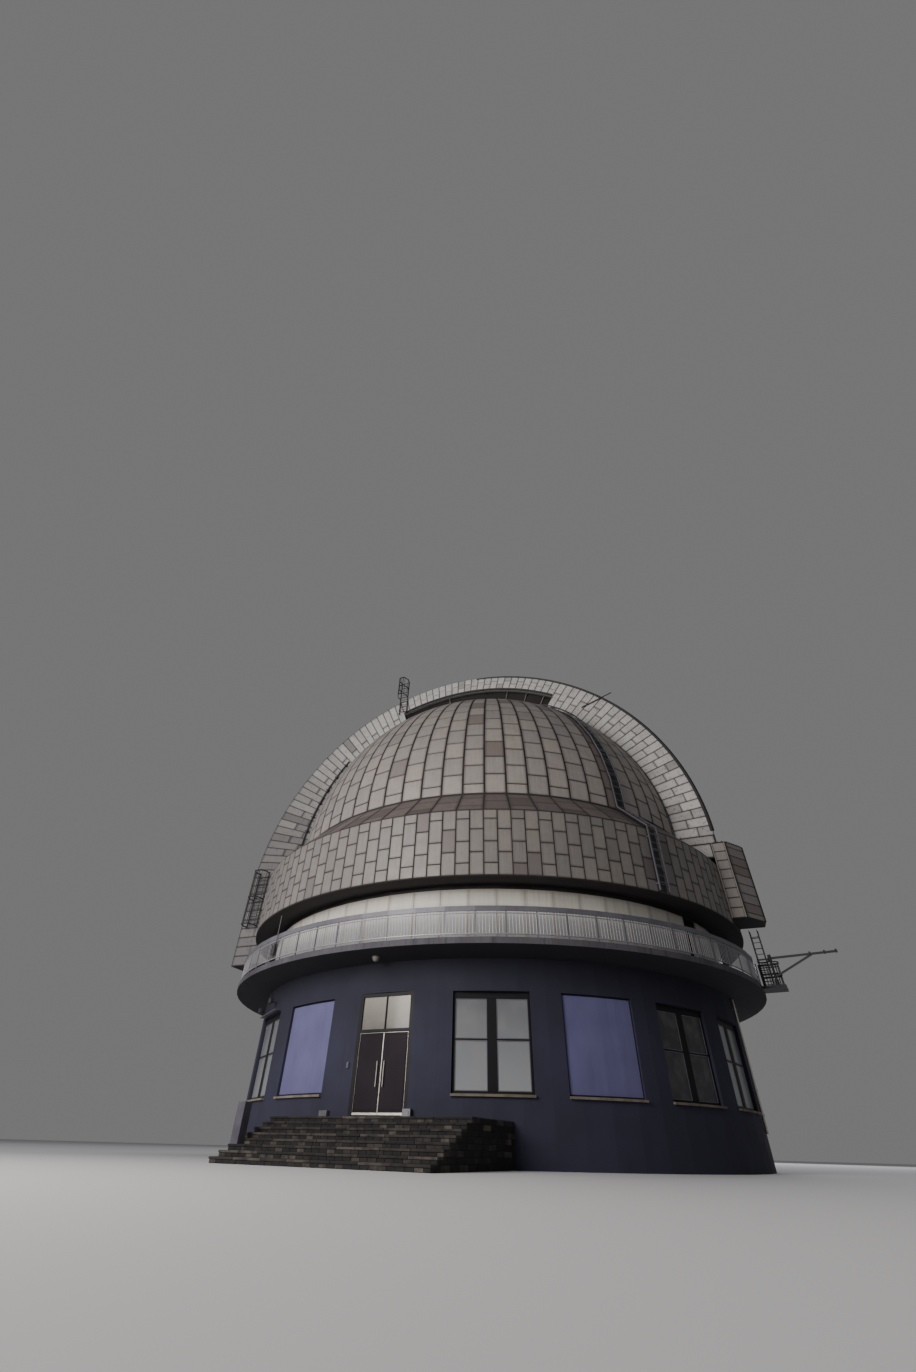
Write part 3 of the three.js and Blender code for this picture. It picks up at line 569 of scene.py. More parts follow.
bag = newBag()
jointAngle = math.degrees(gore["joint"] / gore["radius"])
for k in range(gore["columns"]):
    left = skirt["first"] + gore["step"] * k
    cuts = [gore["start"]]
    joint = gore["half"] if k % 2 else gore["panel"]
    while joint < gore["top"] - 1:
        cuts.append(joint + gore["jitter"] * (dice.random() - 0.5))
        joint += gore["panel"]
    cuts.append(gore["top"])
    for low, high in zip(cuts, cuts[1:]):
        middle = gore["radius"] * math.cos(math.radians((low + high) / 2))
        gore["gaps"] = (math.degrees(gore["seam"] / middle) / 2, jointAngle / 2)
        tone = panelTone(gore["stained"]) + max(0, (low - 30) / 40)  # painted shade: the flatter upper rows are darker
        if abs(left + gore["step"] / 2 - gore["stain"][0]) < gore["stain"][1]:
            tone = max(tone, 1.6) + 0.4  # panels beside the ladder are darker
        addPanel(bag, goreSurface, (left, left + gore["step"]), (low, high), gore, tone,
                 (middle * gore["widthPerRadius"] - gore["seam"], (high - low) * gore["metresPerDegree"]),
                 alongCuts=3)
makeBesideArch("domePanels", bag, domeSheet)

print("arch")
# Angles run from 0 at the front foot over 90 on top to 180 at the rear, about the arch's centre (u, z).
# The recess has its two angles and its inner radius, strips count the sheets before, in and behind it.
arch = {"u": -1.13, "z": 11.45, "radius": 12.6, "half": 3.1, "recess": (71, 122, 11.55), "strip": 2.15,
        "strips": (33, 24, 27), "bond": (0.4, 0.62), "gaps": (0.06, 0.006), "height": 0.014, "edge": 0.012,
        "rim": 0.012, "foot": 7.64, "row": 0.47, "footRows": 8, "footGaps": (0.012, 0)}


def onArch(radius, angle, s):
    a = math.radians(angle)
    return onDome(arch["u"] - radius * math.cos(a), s, arch["z"] + radius * math.sin(a))


def domeReach(z, s=arch["half"]):  # half width in u that skirt, ledge or dome has at a height
    if z < ledge["low"][1]:
        radius = skirt["radius"] + 0.02
    elif z < ledge["high"][1]:
        radius = ledge["low"][0] - (z - ledge["low"][1]) * 0.979 + 0.03
    else:
        radius = math.sqrt(max((gore["radius"] + 0.02) ** 2 - (z - gore["centre"]) ** 2, 0))
    return math.sqrt(max(radius ** 2 - s ** 2, 0))


def flankFoot(angle):  # radius at which a line from the arch's centre leaves the dome
    a = math.radians(angle)
    radius = arch["radius"]
    while radius > 6:
        u, z = arch["u"] - radius * math.cos(a), arch["z"] + radius * math.sin(a)
        if abs(u) < domeReach(z):
            return radius
        radius -= 0.01
    return radius


def addFlank(bag, side):
    recessStart, recessEnd, recessRadius = arch["recess"]

    def toneAt(angle):  # dull at the front foot, pale from there on, stained at the rear end
        base = 1 - 0.95 * min(max((angle - 12) / 50, 0), 1)
        stain = 0.4 if dice.random() < (0.6 if angle > 172 else 0.05) else 0
        return min(max(base + stain + 0.24 * (dice.random() - 0.5), 0), 1)

    def curved(angle, t, height):
        inner = flankFoot(angle) + 0.01
        if recessStart < angle < recessEnd:
            inner = recessRadius
        return onArch(inner + (arch["radius"] - arch["rim"] - inner) * t, angle,
                      side * (arch["half"] + height))

    before, inside, behind = arch["strips"]
    stops = [arch["strip"] * k for k in range(before)] + [recessStart]
    stops += [recessStart + (recessEnd - recessStart) * k / inside for k in range(1, inside + 1)]
    stops += [recessEnd + (180 - recessEnd) * k / behind for k in range(1, behind + 1)]
    for k, (low, high) in enumerate(zip(stops, stops[1:])):
        middle = (low + high) / 2
        inRecess = recessStart < middle < recessEnd
        width = arch["radius"] - (recessRadius if inRecess else flankFoot(middle))
        cuts = [0, arch["bond"][k % 2], 1] if width > 0.9 else [0, 1]
        for t0, t1 in zip(cuts, cuts[1:]):
            addPanel(bag, curved, (low, high), (t0, t1), arch, toneAt(middle),
                     ((high - low) * 0.2, width * (t1 - t0)))

    # Upright foot at the front and end at the rear: rows from z0 to z1, out to u of edge
    frontEdge = arch["u"] - arch["radius"] + arch["rim"]
    rows = [(arch["foot"] + arch["row"] * n, arch["foot"] + arch["row"] * (n + 1), frontEdge)
            for n in range(arch["footRows"])]
    rows += [(11.39, 11.45, frontEdge), (10.45, 11.06, 11.18), (11.08, 11.44, 11.42)]
    for n, (z0, z1, edge) in enumerate(rows):
        def upright(z, t, height):  # t runs from the dome to the outer edge
            inner = math.copysign(domeReach(z), edge)
            return onDome(inner + (edge - inner) * t, side * (arch["half"] + height), z)

        fold = {"height": arch["height"], "edge": min(arch["edge"], 0.2 * (z1 - z0)),
                "gaps": arch["footGaps"]}
        cuts = [0.01, arch["bond"][n % 2], 0.995] if edge < 0 else [0.03, 0.99]
        for t0, t1 in zip(cuts, cuts[1:]):
            addPanel(bag, upright, (z0, z1), (t0, t1 - 0.005), fold, toneAt(0 if edge < 0 else 180),
                     (z1 - z0, 2.3 * (t1 - t0)))


for side, label in ((1, "near"), (-1, "far")):
    bag = newBag()
    addFlank(bag, side)
    makePiece(f"flankPanels_{label}", bag, archSheet, "dome")

# Sheets between the arch walls, all in four columns of one width
roofSheets = {"columns": [(-2.7 + 1.35 * k, -1.35 + 1.35 * k) for k in range(4)], "gaps": (0.015, 0.015),
              "height": 0.013, "edge": 0.012}

# The rear roof's upright end stands on the ledge between the flanks
roofEnd = {"u": 11.052, "rows": ((10.68, 11.72), (11.72, 12.76)), "size": (1.33, 1.04), "stained": 0.3}
bag = newBag()
for row in roofEnd["rows"]:
    for column in roofSheets["columns"]:
        addPanel(bag, lambda s, z, h: onDome(roofEnd["u"] + h, s, z), column, row, roofSheets,
                 panelTone(roofEnd["stained"]), roofEnd["size"])
makePiece("rearRoofEnd", bag, domeSheet, "dome")

# Curved covers: radius, first and last angle, the body they ride on
covers = {"shutter": (12.541, 0.4, 105.8, "shutter"), "rearRoof": (12.151, 102.2, 173.5, "dome")}
coverSheet = {**roofSheets, "angle": 4.3, "gaps": (0.07, 0.015), "size": (0.93, 1.33), "stained": 0.1}
for name, (radius, start, stop, body) in covers.items():
    bag = newBag()
    count = round((stop - start) / coverSheet["angle"])
    for row in range(count):
        angles = [start + (stop - start) * (row + e) / count for e in (0, 1)]
        for column in coverSheet["columns"]:
            addPanel(bag, lambda a, s, h: onArch(radius + h, a, s), angles, column, coverSheet,
                     panelTone(coverSheet["stained"]), coverSheet["size"], acrossCuts=2)
    makePiece(f"{name}Sheets", bag, domeSheet, body)

# Caps on the rims of both flanks, and the dark gutter on the near rim's rear half, wider at its lower end
rim = {"radius": 12.602, "s": (2.77, 3.09), "end": 178, "caps": 42, "gaps": (0.08, 0), "height": 0.01,
       "edge": 0.01, "size": (0.92, 0.32), "stained": 0.04}
gutterRun = {"from": 96, "run": 83, "parts": 40, "radius": 12.5, "s": 3.13, "thin": 0.04, "wider": 0.06}
rims, gutter = newBag(), newBag()
for side in (1, -1):
    for k in range(rim["caps"]):
        angles = [rim["end"] * (k + e) / rim["caps"] for e in (0, 1)]
        addPanel(rims, lambda a, s, h: onArch(rim["radius"] + h, a, side * s), angles, rim["s"], rim,
                 panelTone(rim["stained"]), rim["size"])
for k in range(gutterRun["parts"]):
    share = k / gutterRun["parts"]
    a0 = gutterRun["from"] + gutterRun["run"] * share
    a1 = gutterRun["from"] + gutterRun["run"] * (k + 1) / gutterRun["parts"] + 0.1
    wider = gutterRun["wider"] * share
    addTube(gutter, [onArch(gutterRun["radius"] + wider, a, gutterRun["s"]) for a in (a0, a1)],
            gutterRun["thin"] + wider, 6)
makePiece("rimCaps", rims, archSheet, "dome")
makePiece("rimGutter", gutter, blackSteel, "dome")

print("hoods")
frontHood = {"u": -13.731, "rows": 4, "columns": 4, "first": -2.74, "low": 7.64, "width": 1.37, "rise": 0.95,
             "gaps": (0.015, 0.015), "height": 0.014, "edge": 0.012, "size": (1.34, 0.92), "stained": 0.1}
bag = newBag()
for row in range(frontHood["rows"]):
    for column in range(frontHood["columns"]):
        s0 = frontHood["first"] + frontHood["width"] * column
        z0 = frontHood["low"] + frontHood["rise"] * row
        addPanel(bag, lambda s, z, h: onDome(frontHood["u"] - h, s, z), (s0, s0 + frontHood["width"]),
                 (z0, z0 + frontHood["rise"]), frontHood, panelTone(frontHood["stained"]), frontHood["size"])
makePiece("frontHoodSheets", bag, domeSheet, "dome")

# The rear hood's faces follow its plan of (u, s) corners, each with its own tone; the second and fourth faces
# get a dark tone as painted shade
hood = {"plan": [(11.19, 3.1), (11.78, 3.1), (12.5, 2.2), (12.5, 1.5), (11.54, 1.5)],
        "tonesAndShade": (0.3, 2, 0.3, 2), "low": 7.86, "high": 11.065, "rows": 8, "column": 1.3, "sideGap": 0.05,
        "rowGap": 0.012, "height": 0.014, "edge": 0.012, "off": 0.002}
sides = newBag()
rise = (hood["high"] - hood["low"]) / hood["rows"]
for k, ((u0, s0), (u1, s1)) in enumerate(zip(hood["plan"], hood["plan"][1:])):
    length = math.dist((u0, s0), (u1, s1))
    outU, outS = (s0 - s1) / length, (u1 - u0) / length

    def hoodSide(t, z, height):
        out = height + hood["off"]
        return onDome(u0 + (u1 - u0) * t + outU * out, s0 + (s1 - s0) * t + outS * out, z)

    columns = max(1, round(length / hood["column"]))
    shift = rise * 0.5 * (k % 2)  # the rows of neighbouring faces don't meet
    sheet = {**hood, "gaps": (hood["sideGap"] / length, hood["rowGap"])}
    for column in range(columns):
        inner = range(0 if shift else 1, hood["rows"])
        cuts = [hood["low"]] + [hood["low"] + shift + rise * n for n in inner]
        cuts.append(hood["high"])
        for z0, z1 in zip(cuts, cuts[1:]):
            addPanel(sides, hoodSide, (column / columns, (column + 1) / columns), (z0, z1), sheet,
                     hood["tonesAndShade"][k] * dice.random() ** 0.4, (length / columns, z1 - z0))
for z0, z1 in ((10.12, 10.59), (10.61, 11.05)):  # the far side over the ledge
    addPanel(sides, lambda u, z, h: onDome(u, 1.5 - hood["off"] - h, z), (domeReach(z0, 1.5) + 0.01, 11.5),
             (z0, z1), {**hood, "edge": 0.01}, panelTone(0.5), (0.6, 0.45))
makePiece("rearHoodSheets", sides, domeSheet, "dome")

# Bright strips up the near face, black edge strips with studs along the top and one down the outer corner
hoodTrim = {"strips": (11.22, 11.74), "half": 0.018, "from": 3.1, "to": 3.13, "edge": 0.03, "pitch": 0.16,
            "stud": (0.06, 0.025)}
strips, edges = newBag(), newBag()
for u in hoodTrim["strips"]:
    addBlock(strips, (u - hoodTrim["half"], hoodTrim["from"], hood["low"]),
             (u + hoodTrim["half"], hoodTrim["to"], hood["high"]), onDome, 0.006)
makePiece("rearHoodStrips", strips, brushedSteel, "dome")
for (u0, s0), (u1, s1) in zip(hood["plan"][:3], hood["plan"][1:4]):
    length = math.dist((u0, s0), (u1, s1))
    addTube(edges, [onDome(u0, s0, hood["high"]), onDome(u1, s1, hood["high"])], hoodTrim["edge"], 6)
    for n in range(1, round(length / hoodTrim["pitch"])):
        t = n * hoodTrim["pitch"] / length
        stud = onDome(u0 + (u1 - u0) * t, s0 + (s1 - s0) * t, hood["high"])
        addTube(edges, [stud, stud + Vector((0, 0, hoodTrim["stud"][0]))], hoodTrim["stud"][1], 6)
u, s = hood["plan"][2]
addTube(edges, [onDome(u, s, hood["low"]), onDome(u, s, hood["high"])], hoodTrim["edge"], 6)
makePiece("rearHoodEdges", edges, blackSteel, "dome")

# Sheets on the rear hood's top, each from and to in s, then in u
hoodTop = {"z": 11.071, "height": 0.012, "edge": 0.012,
           "sheets": ((1.51, 2.18, 11.08, 12.48), (2.2, 2.72, 11.08, 12.05), (2.74, 3.08, 11.49, 11.78))}
bag = newBag()
for s0, s1, u0, u1 in hoodTop["sheets"]:
    addPanel(bag, lambda s, u, h: onDome(u, s, hoodTop["z"] + h), (s0, s1), (u0, u1), hoodTop,
             panelTone(0.2), (s1 - s0, u1 - u0))
makePiece("rearHoodTop", bag, archSheet, "dome")

print("fittings on the dome")
# Pipe along the front flank from one angle and radius to another, on clips with feet
pipeRun = {"angles": (13, 47), "radii": (9.88, 10.72), "parts": 20, "s": 3.24, "thick": 0.05, "clips": 3}


def onPipeRun(k):  # angle and radius after k parts
    share = k / pipeRun["parts"]
    return tuple(low + (high - low) * share for low, high in (pipeRun["angles"], pipeRun["radii"]))


bag = newBag()
pipe = [onArch(radius, angle, pipeRun["s"]) for angle, radius in map(onPipeRun, range(pipeRun["parts"] + 1))]
addTube(bag, pipe, pipeRun["thick"])
for angle, radius in map(onPipeRun, range(1, pipeRun["parts"], pipeRun["clips"])):
    addTube(bag, [onArch(radius, angle, 3.1), onArch(radius, angle, 3.27)], 0.07, 6)
    addTube(bag, [onArch(radius - 0.25, angle, 3.13), onArch(radius + 0.25, angle, 3.13)], 0.03, 6)

# Rails of two thicknesses in the recess, on stays, and small lamps. The pole at the rear runs between two
# (u, z) places
recess = {"rails": ((11.58, 0.055), (11.36, 0.028)), "from": 71.3, "run": 50.4, "parts": 30, "s": 3.12,
          "lamps": (87, 106.8, 113.3, 119.1)}
stops = [recess["from"] + recess["run"] * k / recess["parts"] for k in range(recess["parts"] + 1)]
for radius, thick in recess["rails"]:
    addTube(bag, [onArch(radius, a, recess["s"]) for a in stops], thick, 6)
    for a in stops[1::4]:
        addTube(bag, [onArch(radius, a, 2.84), onArch(radius, a, 3.14)], 0.018, 6)
pole = ((6.54, 19.88), (8.32, 20.5))
addTube(bag, [onDome(u, 3.2, z) for u, z in pole], 0.03)
u, z = pole[0]
addTube(bag, [onDome(u + 0.2, 3.1, z + 0.05), onDome(u + 0.2, 3.22, z + 0.05)], 0.03, 6)
makePiece("archPipes", bag, blackSteel, "dome")
bag = newBag()
for angle in recess["lamps"]:
    addTube(bag, [onArch(10.9, angle, 2.9), onArch(11.35, angle, 3.0)], 0.022)
    addTube(bag, [onArch(radius, angle, 3.0) for radius in (11.35, 11.38, 11.44)], 0.05)
makePiece("recessLamps", bag, brushedSteel, "dome")

# Cage bars and close rungs that complete the caged ladders. Each bar has its share of the ladder's half
# width, what it stands out sideways and its reach.
cages = {"foot": {"u": -12.84, "s": 3.325, "low": 9.45, "height": 3.08, "half": 0.315, "start": 0.03},
         "top": {"u": -4.95, "s": 3.225, "low": 22.25, "height": 2.72, "half": 0.26, "start": 1.25}}
cageBars = ((-1, -0.06, 0.3), (1, 0.06, 0.3), (-0.8, 0, 0.56), (0.8, 0, 0.56), (0, 0, 0.63))
rungStep = 0.4
bag = newBag()
for ladder in cages.values():
    u, s, low, half = (ladder[key] for key in ("u", "s", "low", "half"))
    for share, out, reach in cageBars:
        addTube(bag, [onDome(u + half * share + out, s + reach, z)
                      for z in (low + ladder["start"], low + ladder["height"] - 0.03)], 0.014, 6)
    for n in range(int(ladder["height"] / rungStep)):
        z = low + rungStep + rungStep * n
        addTube(bag, [onDome(u - half, s, z), onDome(u + half, s, z)], 0.012, 6)
makePiece("cageBars", bag, blackSteel, "dome")

# A pale tube with a dark cap beside the ladder at the arch's foot, held by two pins
footTube = {"u": -12.46, "s": 3.19, "low": 10.45, "cap": 11.35, "high": 11.5, "thick": 0.065,
            "capThick": 0.075, "pins": (10.6, 11.2)}
bag = newBag()
addTube(bag, [onDome(footTube["u"], footTube["s"], footTube[key]) for key in ("low", "cap")],
        footTube["thick"], 12)
makePiece("footTube", bag, creamEnamel, "dome")
bag = newBag()
addTube(bag, [onDome(footTube["u"], footTube["s"], footTube[key]) for key in ("cap", "high")],
        footTube["capThick"], 12)
for z in footTube["pins"]:
    addTube(bag, [onDome(footTube["u"], s, z) for s in (3.1, 3.15)], 0.025, 6)
makePiece("footTubeCap", bag, blackSteel, "dome")

# Thin rungs of the long ladder that lies on the dome, and a dark strip on the panels behind it, a painted
# shadow of the ladder. The strip has a part on skirt, ledge and dome, each from one run to another.
domeLadder = {"azimuth": 31.85, "half": 0.235, "stand": 0.16, "ledge": 2.45, "dome": 4.35, "rungs": 44,
              "start": 0.25, "step": 0.32, "thick": 0.009}
ladderShadowStrip = {"parts": ((0.02, 2.42, 1), (2.48, 4.3, 1), (4.42, 14.3, 24)), "half": 0.21, "stand": 0.028,
               "height": 0.006, "edge": 0.01}


def ladderPlace(x, run, stand=domeLadder["stand"]):  # run is metres up from the skirt's foot
    if run < domeLadder["ledge"]:
        radius, z = skirt["radius"] + stand, skirt["low"] + run
    elif run < domeLadder["dome"]:
        t = (run - domeLadder["ledge"]) / (domeLadder["dome"] - domeLadder["ledge"])
        radius, z = 11.6 + stand - 1.33 * t, 10.15 + 1.36 * t
    else:
        angle = (run - domeLadder["dome"]) / gore["radius"]
        radius = (gore["radius"] + stand) * math.cos(angle)
        z = gore["centre"] + (gore["radius"] + stand) * math.sin(angle)
    return turned(domeLadder["azimuth"], x, -radius, z)


bag = newBag()
for n in range(domeLadder["rungs"]):
    run = domeLadder["start"] + domeLadder["step"] * n
    addTube(bag, [ladderPlace(side * domeLadder["half"], run) for side in (-1, 1)], domeLadder["thick"], 6)
makePiece("domeLadderRungs", bag, railPaint, "dome")
bag = newBag()
for low, high, cuts in ladderShadowStrip["parts"]:
    addPanel(bag, lambda x, run, h: ladderPlace(x, run, ladderShadowStrip["stand"] + h),
             (-ladderShadowStrip["half"], ladderShadowStrip["half"]), (low, high), ladderShadowStrip, 0.5,
             (2 * ladderShadowStrip["half"], high - low), alongCuts=cuts)
makePiece("ladderShadowStrip", bag, blackSteel, "dome")

print("upper wall")
# One panel in 66 is the balcony door, which has a pale panel below its dark pane
upper = {"radius": 10.532, "first": 0.7, "panels": 66, "low": 5.575, "high": 7.53, "gaps": (0.025, 0),
         "height": 0.012, "edge": 0.01, "size": (1.0, 1.95), "doorPanel": 8}
balconyDoor = {"radius": 10.545, "left": 1.2, "right": 0.55, "low": 5.66, "high": 6.98, "height": 0.016,
               "edge": 0.012, "tone": 1.6, "size": (0.68, 1.3)}
bag = newBag()
upperStep = 360 / upper["panels"]
for k in range(upper["panels"]):
    left = upper["first"] + upperStep * k
    if k != upper["doorPanel"]:
        addPanel(bag, lambda a, z, h: onFacets(upper["first"], upperStep, a, upper["radius"] + h, z),
                 (left, left + upperStep), (upper["low"], upper["high"]), upper, dice.random(), upper["size"])
    else:
        addPanel(bag, lambda a, z, h: polar(balconyDoor["radius"] + h, a, z),
                 (left + balconyDoor["left"], left + upperStep - balconyDoor["right"]),
                 (balconyDoor["low"], balconyDoor["high"]), balconyDoor, balconyDoor["tone"],
                 balconyDoor["size"])
makePiece("upperWallPanels", bag, creamEnamel, "building")

print("railing")
# Balusters every 108 mm between a bottom rail and a thin rail below the broad top band
rail = {"from": 65.9, "to": 420.6, "pitch": 0.108, "bar": 0.011, "low": 5.655, "high": 6.375, "thin": 6.29,
        "half": 0.018, "tall": 0.026, "parts": 144}
bag = newBag()
reach = site["railing"]
turn = rail["to"] - rail["from"]
count = round(math.radians(turn) * reach / rail["pitch"])
for k in range(count):
    azimuth = rail["from"] + turn * (k + 0.5) / count
    addPost(bag, reach, azimuth, (rail["low"], rail["high"]), rail["bar"], 5)
azimuths = [rail["from"] + turn * k / rail["parts"] for k in range(rail["parts"] + 1)]
for z in (rail["low"], rail["thin"]):
    outline = [(reach - rail["half"], z), (reach + rail["half"], z), (reach + rail["half"], z + rail["tall"]),
               (reach - rail["half"], z + rail["tall"])]
    addSweep(bag, outline, azimuths)
makePiece("railingBars", bag, litBarPaint, "building")

print("windows")
# Bays are counted to the right from the one beside the middle. Blank ones have a board, dark ones no blind.
bays = {"first": -0.6, "step": 360 / 19, "count": 18, "blank": (1, 4, 7, 10, 13, 15, 17),
        "dark": (2, 6, 9, 12)}
window = {"half": 1.2, "front": 10.33, "depth": 0.07, "sill": 1.655, "head": 4.295, "bar": 0.06,
          "headBox": 0.19, "mullion": 0.145, "transom": 3.0, "transomHalf": 0.02, "sash": 0.026}
sillStone = {"outline": [(10.38, 1.58), (10.585, 1.58), (10.59, 1.635), (10.38, 1.66)], "half": 6.75,
             "parts": 4}
board = {"radius": 10.405, "half": 6.5, "low": 1.685, "high": 4.255, "height": 0.02, "edge": 0.01,
         "size": (2.38, 2.57)}
frames, sashes, pale, dark, sills, boards = (newBag() for n in range(6))
for k in range(bays["count"]):
    centre = bays["first"] + bays["step"] * k
    inBay = turnedBy(centre)
    parts = sillStone["parts"]
    azimuths = [centre + sillStone["half"] * n / parts for n in range(-parts, parts + 1)]
    addSweep(sills, sillStone["outline"], azimuths, dice.random())
    if k in bays["blank"]:
        addPanel(boards, lambda a, z, h: polar(board["radius"] + h, a, z),
                 (centre - board["half"], centre + board["half"]), (board["low"], board["high"]), board,
                 dice.random(), board["size"], acrossCuts=4)
        continue
    y = -window["front"]
    half, bar, sill, head = window["half"], window["bar"], window["sill"], window["head"]
    top = head - window["headBox"]  # a dark box for the blind hides the top of the panes
    under, over = window["transom"] - window["transomHalf"], window["transom"] + window["transomHalf"]
    for x0, x1, z0, z1 in ((-half, bar - half, sill, head), (half - bar, half, sill, head),
                           (bar - half, half - bar, top, head), (bar - half, half - bar, sill, sill + bar),
                           (-window["mullion"], window["mullion"], sill + bar, top)):
        addBlock(frames, (x0, y, z0), (x1, y + window["depth"], z1), inBay)
    for side in (-1, 1):
        x0, x1 = sorted((side * window["mullion"], side * (half - bar)))
        for z0, z1 in ((sill + bar, under), (over, top)):
            sash = window["sash"]
            for a0, a1, b0, b1 in ((x0, x1, z0, z0 + sash), (x0, x1, z1 - sash, z1),
                                   (x0, x0 + sash, z0 + sash, z1 - sash),
                                   (x1 - sash, x1, z0 + sash, z1 - sash)):
                addBlock(sashes, (a0, y + 0.015, b0), (a1, y + 0.05, b1), inBay, 0.004)
        addBlock(frames, (x0, y + 0.01, under), (x1, y + 0.055, over), inBay)
        addBlock(dark if k in bays["dark"] else pale, (x0, y + 0.03, sill + bar), (x1, y + 0.04, top), inBay,
                 0.002)
makePiece("windowFrames", frames, darkAnodised, "building")
makePiece("windowSashes", sashes, railPaint, "building")
makePiece("palePanes", pale, paleGlass, "building", ("glazing",))
makePiece("darkPanes", dark, darkGlass, "building")
makePiece("windowSills", sills, limestone, "building")
makePiece("blankBoards", boards, boardPaint, "building")

print("door")
# Each leaf has a panel that stands out from its core, bright strips round it and a grip on two stays
leaf = {"half": 0.869, "front": 10.44, "thick": 0.055, "low": 1.125, "high": 3.213, "meet": 0.003,
        "kick": 0.06, "stile": 0.013, "hingeStrip": 0.008, "headStrip": 0.009, "inset": 0.05,
        "grip": {"x": 0.12, "low": 1.8, "high": 2.45, "out": 0.055, "stay": 0.07}}
inDoor = turnedBy(site["doorAzimuth"])
y = -leaf["front"]
for side, label in ((-1, "left"), (1, "right")):
    body = f"door_leaf_{label}"
    x0, x1 = sorted((side * leaf["meet"], side * leaf["half"]))
    bag = newBag()
    addBlock(bag, (x0, y + 0.014, leaf["low"]), (x1, y + leaf["thick"], leaf["high"]), inDoor, 0.004)
    i0, i1 = sorted((side * leaf["inset"], side * (leaf["half"] - leaf["inset"])))
    addBlock(bag, (i0, y + 0.004, leaf["low"] + 0.12), (i1, y + 0.022, leaf["high"] - 0.07), inDoor, 0.008)
    makePiece(f"leafPanel_{label}", bag, doorPaint, body, (f"leaf_{label}",))
    bag = newBag()
    i0, i1 = sorted((side * leaf["meet"], side * (leaf["meet"] + leaf["stile"])))
    addBlock(bag, (i0, y, leaf["low"] + leaf["kick"]), (i1, y + 0.02, leaf["high"]), inDoor, 0.003)
    addBlock(bag, (x0, y, leaf["low"]), (x1, y + 0.018, leaf["low"] + leaf["kick"]), inDoor, 0.003)
    i0, i1 = sorted((side * (leaf["half"] - leaf["hingeStrip"]), side * leaf["half"]))
    addBlock(bag, (i0, y + 0.004, leaf["low"] + leaf["kick"]), (i1, y + 0.02, leaf["high"]), inDoor, 0.003)
    addBlock(bag, (x0, y + 0.003, leaf["high"] - leaf["headStrip"]), (x1, y + 0.02, leaf["high"]), inDoor,
             0.003)
    grip = leaf["grip"]
    x = side * grip["x"]
    addTube(bag, [inDoor(x, y - grip["out"], z) for z in (grip["low"], grip["high"])], 0.013, 10)
    for z in (grip["low"] + grip["stay"], grip["high"] - grip["stay"]):
        addTube(bag, [inDoor(x, y + 0.006, z), inDoor(x, y - 0.05, z)], 0.011)
    makePiece(f"leafTrim_{label}", bag, brushedSteel, body)
transomBar = {"low": (-0.018, -10.445, 3.312), "high": (0.018, -10.37, 4.238)}
bag = newBag()
addBlock(bag, transomBar["low"], transomBar["high"], inDoor, 0.004)
makePiece("transomBar", bag, darkAnodised, "building")

print("stairs")
# Treads lie on brick risers round a mortar core; x and y are in the stairs' own turned frame
stairs = {"left": -1.8, "right": 4.85, "front": 11.86, "steps": 8, "tread": 0.28, "rise": 1.03 / 8,
          "slab": 0.045, "nosing": 0.03, "slabLengths": (0.55, 0.95), "brick": (0.24, 0.24),
          "sideBrick": (0.4, 0.5)}
paving = {"first": 0.255, "rows": 5, "row": 0.42, "slab": 0.41, "lengths": (0.6, 0.6), "low": 0.99,
          "high": 1.036, "wall": 10.53}
onStairs = turnedBy(site["stairAzimuth"])


def addCourse(start, stop, lengths, place):  # places blocks of random length in a row
    at = start
    while at < stop - 0.01:
        length = lengths[0] + (lengths[1] - lengths[0]) * dice.random()
        if stop - at - length < 0.6 * lengths[0]:
            length = stop - at
        place(at + 0.004, at + length - 0.004)
        at += length


treads, bricks = newBag(), newBag()
for k in range(stairs["steps"]):
    top = stairs["rise"] * (stairs["steps"] - k)
    low = top - stairs["rise"] + 0.008
    front = -(stairs["front"] + stairs["tread"] * k)
    course = top - stairs["slab"]

    def layTread(a, b):
        addBlock(treads, (a, front - stairs["nosing"] - 0.006 * dice.random(), course),
                 (b, front + 0.25, top + 0.006 + 0.004 * dice.random()), onStairs, 0.008,
                 1 - dice.random() ** 3)

    def layBrick(a, b):
        addBlock(bricks, (a, front - 0.012 - 0.005 * dice.random(), low), (b, front + 0.02, course - 0.004),
                 onStairs, 0.006, 1 - dice.random() ** 4)

    addCourse(stairs["left"] - 0.02, stairs["right"] + 0.02, stairs["slabLengths"], layTread)
    addCourse(stairs["left"], stairs["right"], stairs["brick"], layBrick)
    for x0, x1, end in ((stairs["left"] - 0.012, stairs["left"] + 0.02, -10.6),
                        (stairs["right"] - 0.02, stairs["right"] + 0.012, -9.2)):
        addCourse(front, end, stairs["sideBrick"], lambda a, b: addBlock(
            bricks, (x0, a, low), (x1, b, top - 0.004), onStairs, 0.006, 1 - dice.random() ** 4))
for row in range(paving["rows"]):  # paving of the landing behind its front treads, up to the wall
    y0 = paving["first"] - stairs["front"] + paving["row"] * row
    y1 = y0 + paving["slab"]

    def layPaving(a, b):
        if math.hypot(max(a, -b, 0), y1) > paving["wall"]:
            addBlock(treads, (a, y0, paving["low"]), (b, y1, paving["high"]), onStairs, 0.006, dice.random())

    addCourse(stairs["left"], stairs["right"], paving["lengths"], layPaving)
makePiece("stairTreads", treads, shadedGranite, "building")
makePiece("stairBricks", bricks, shadedGranite, "building")

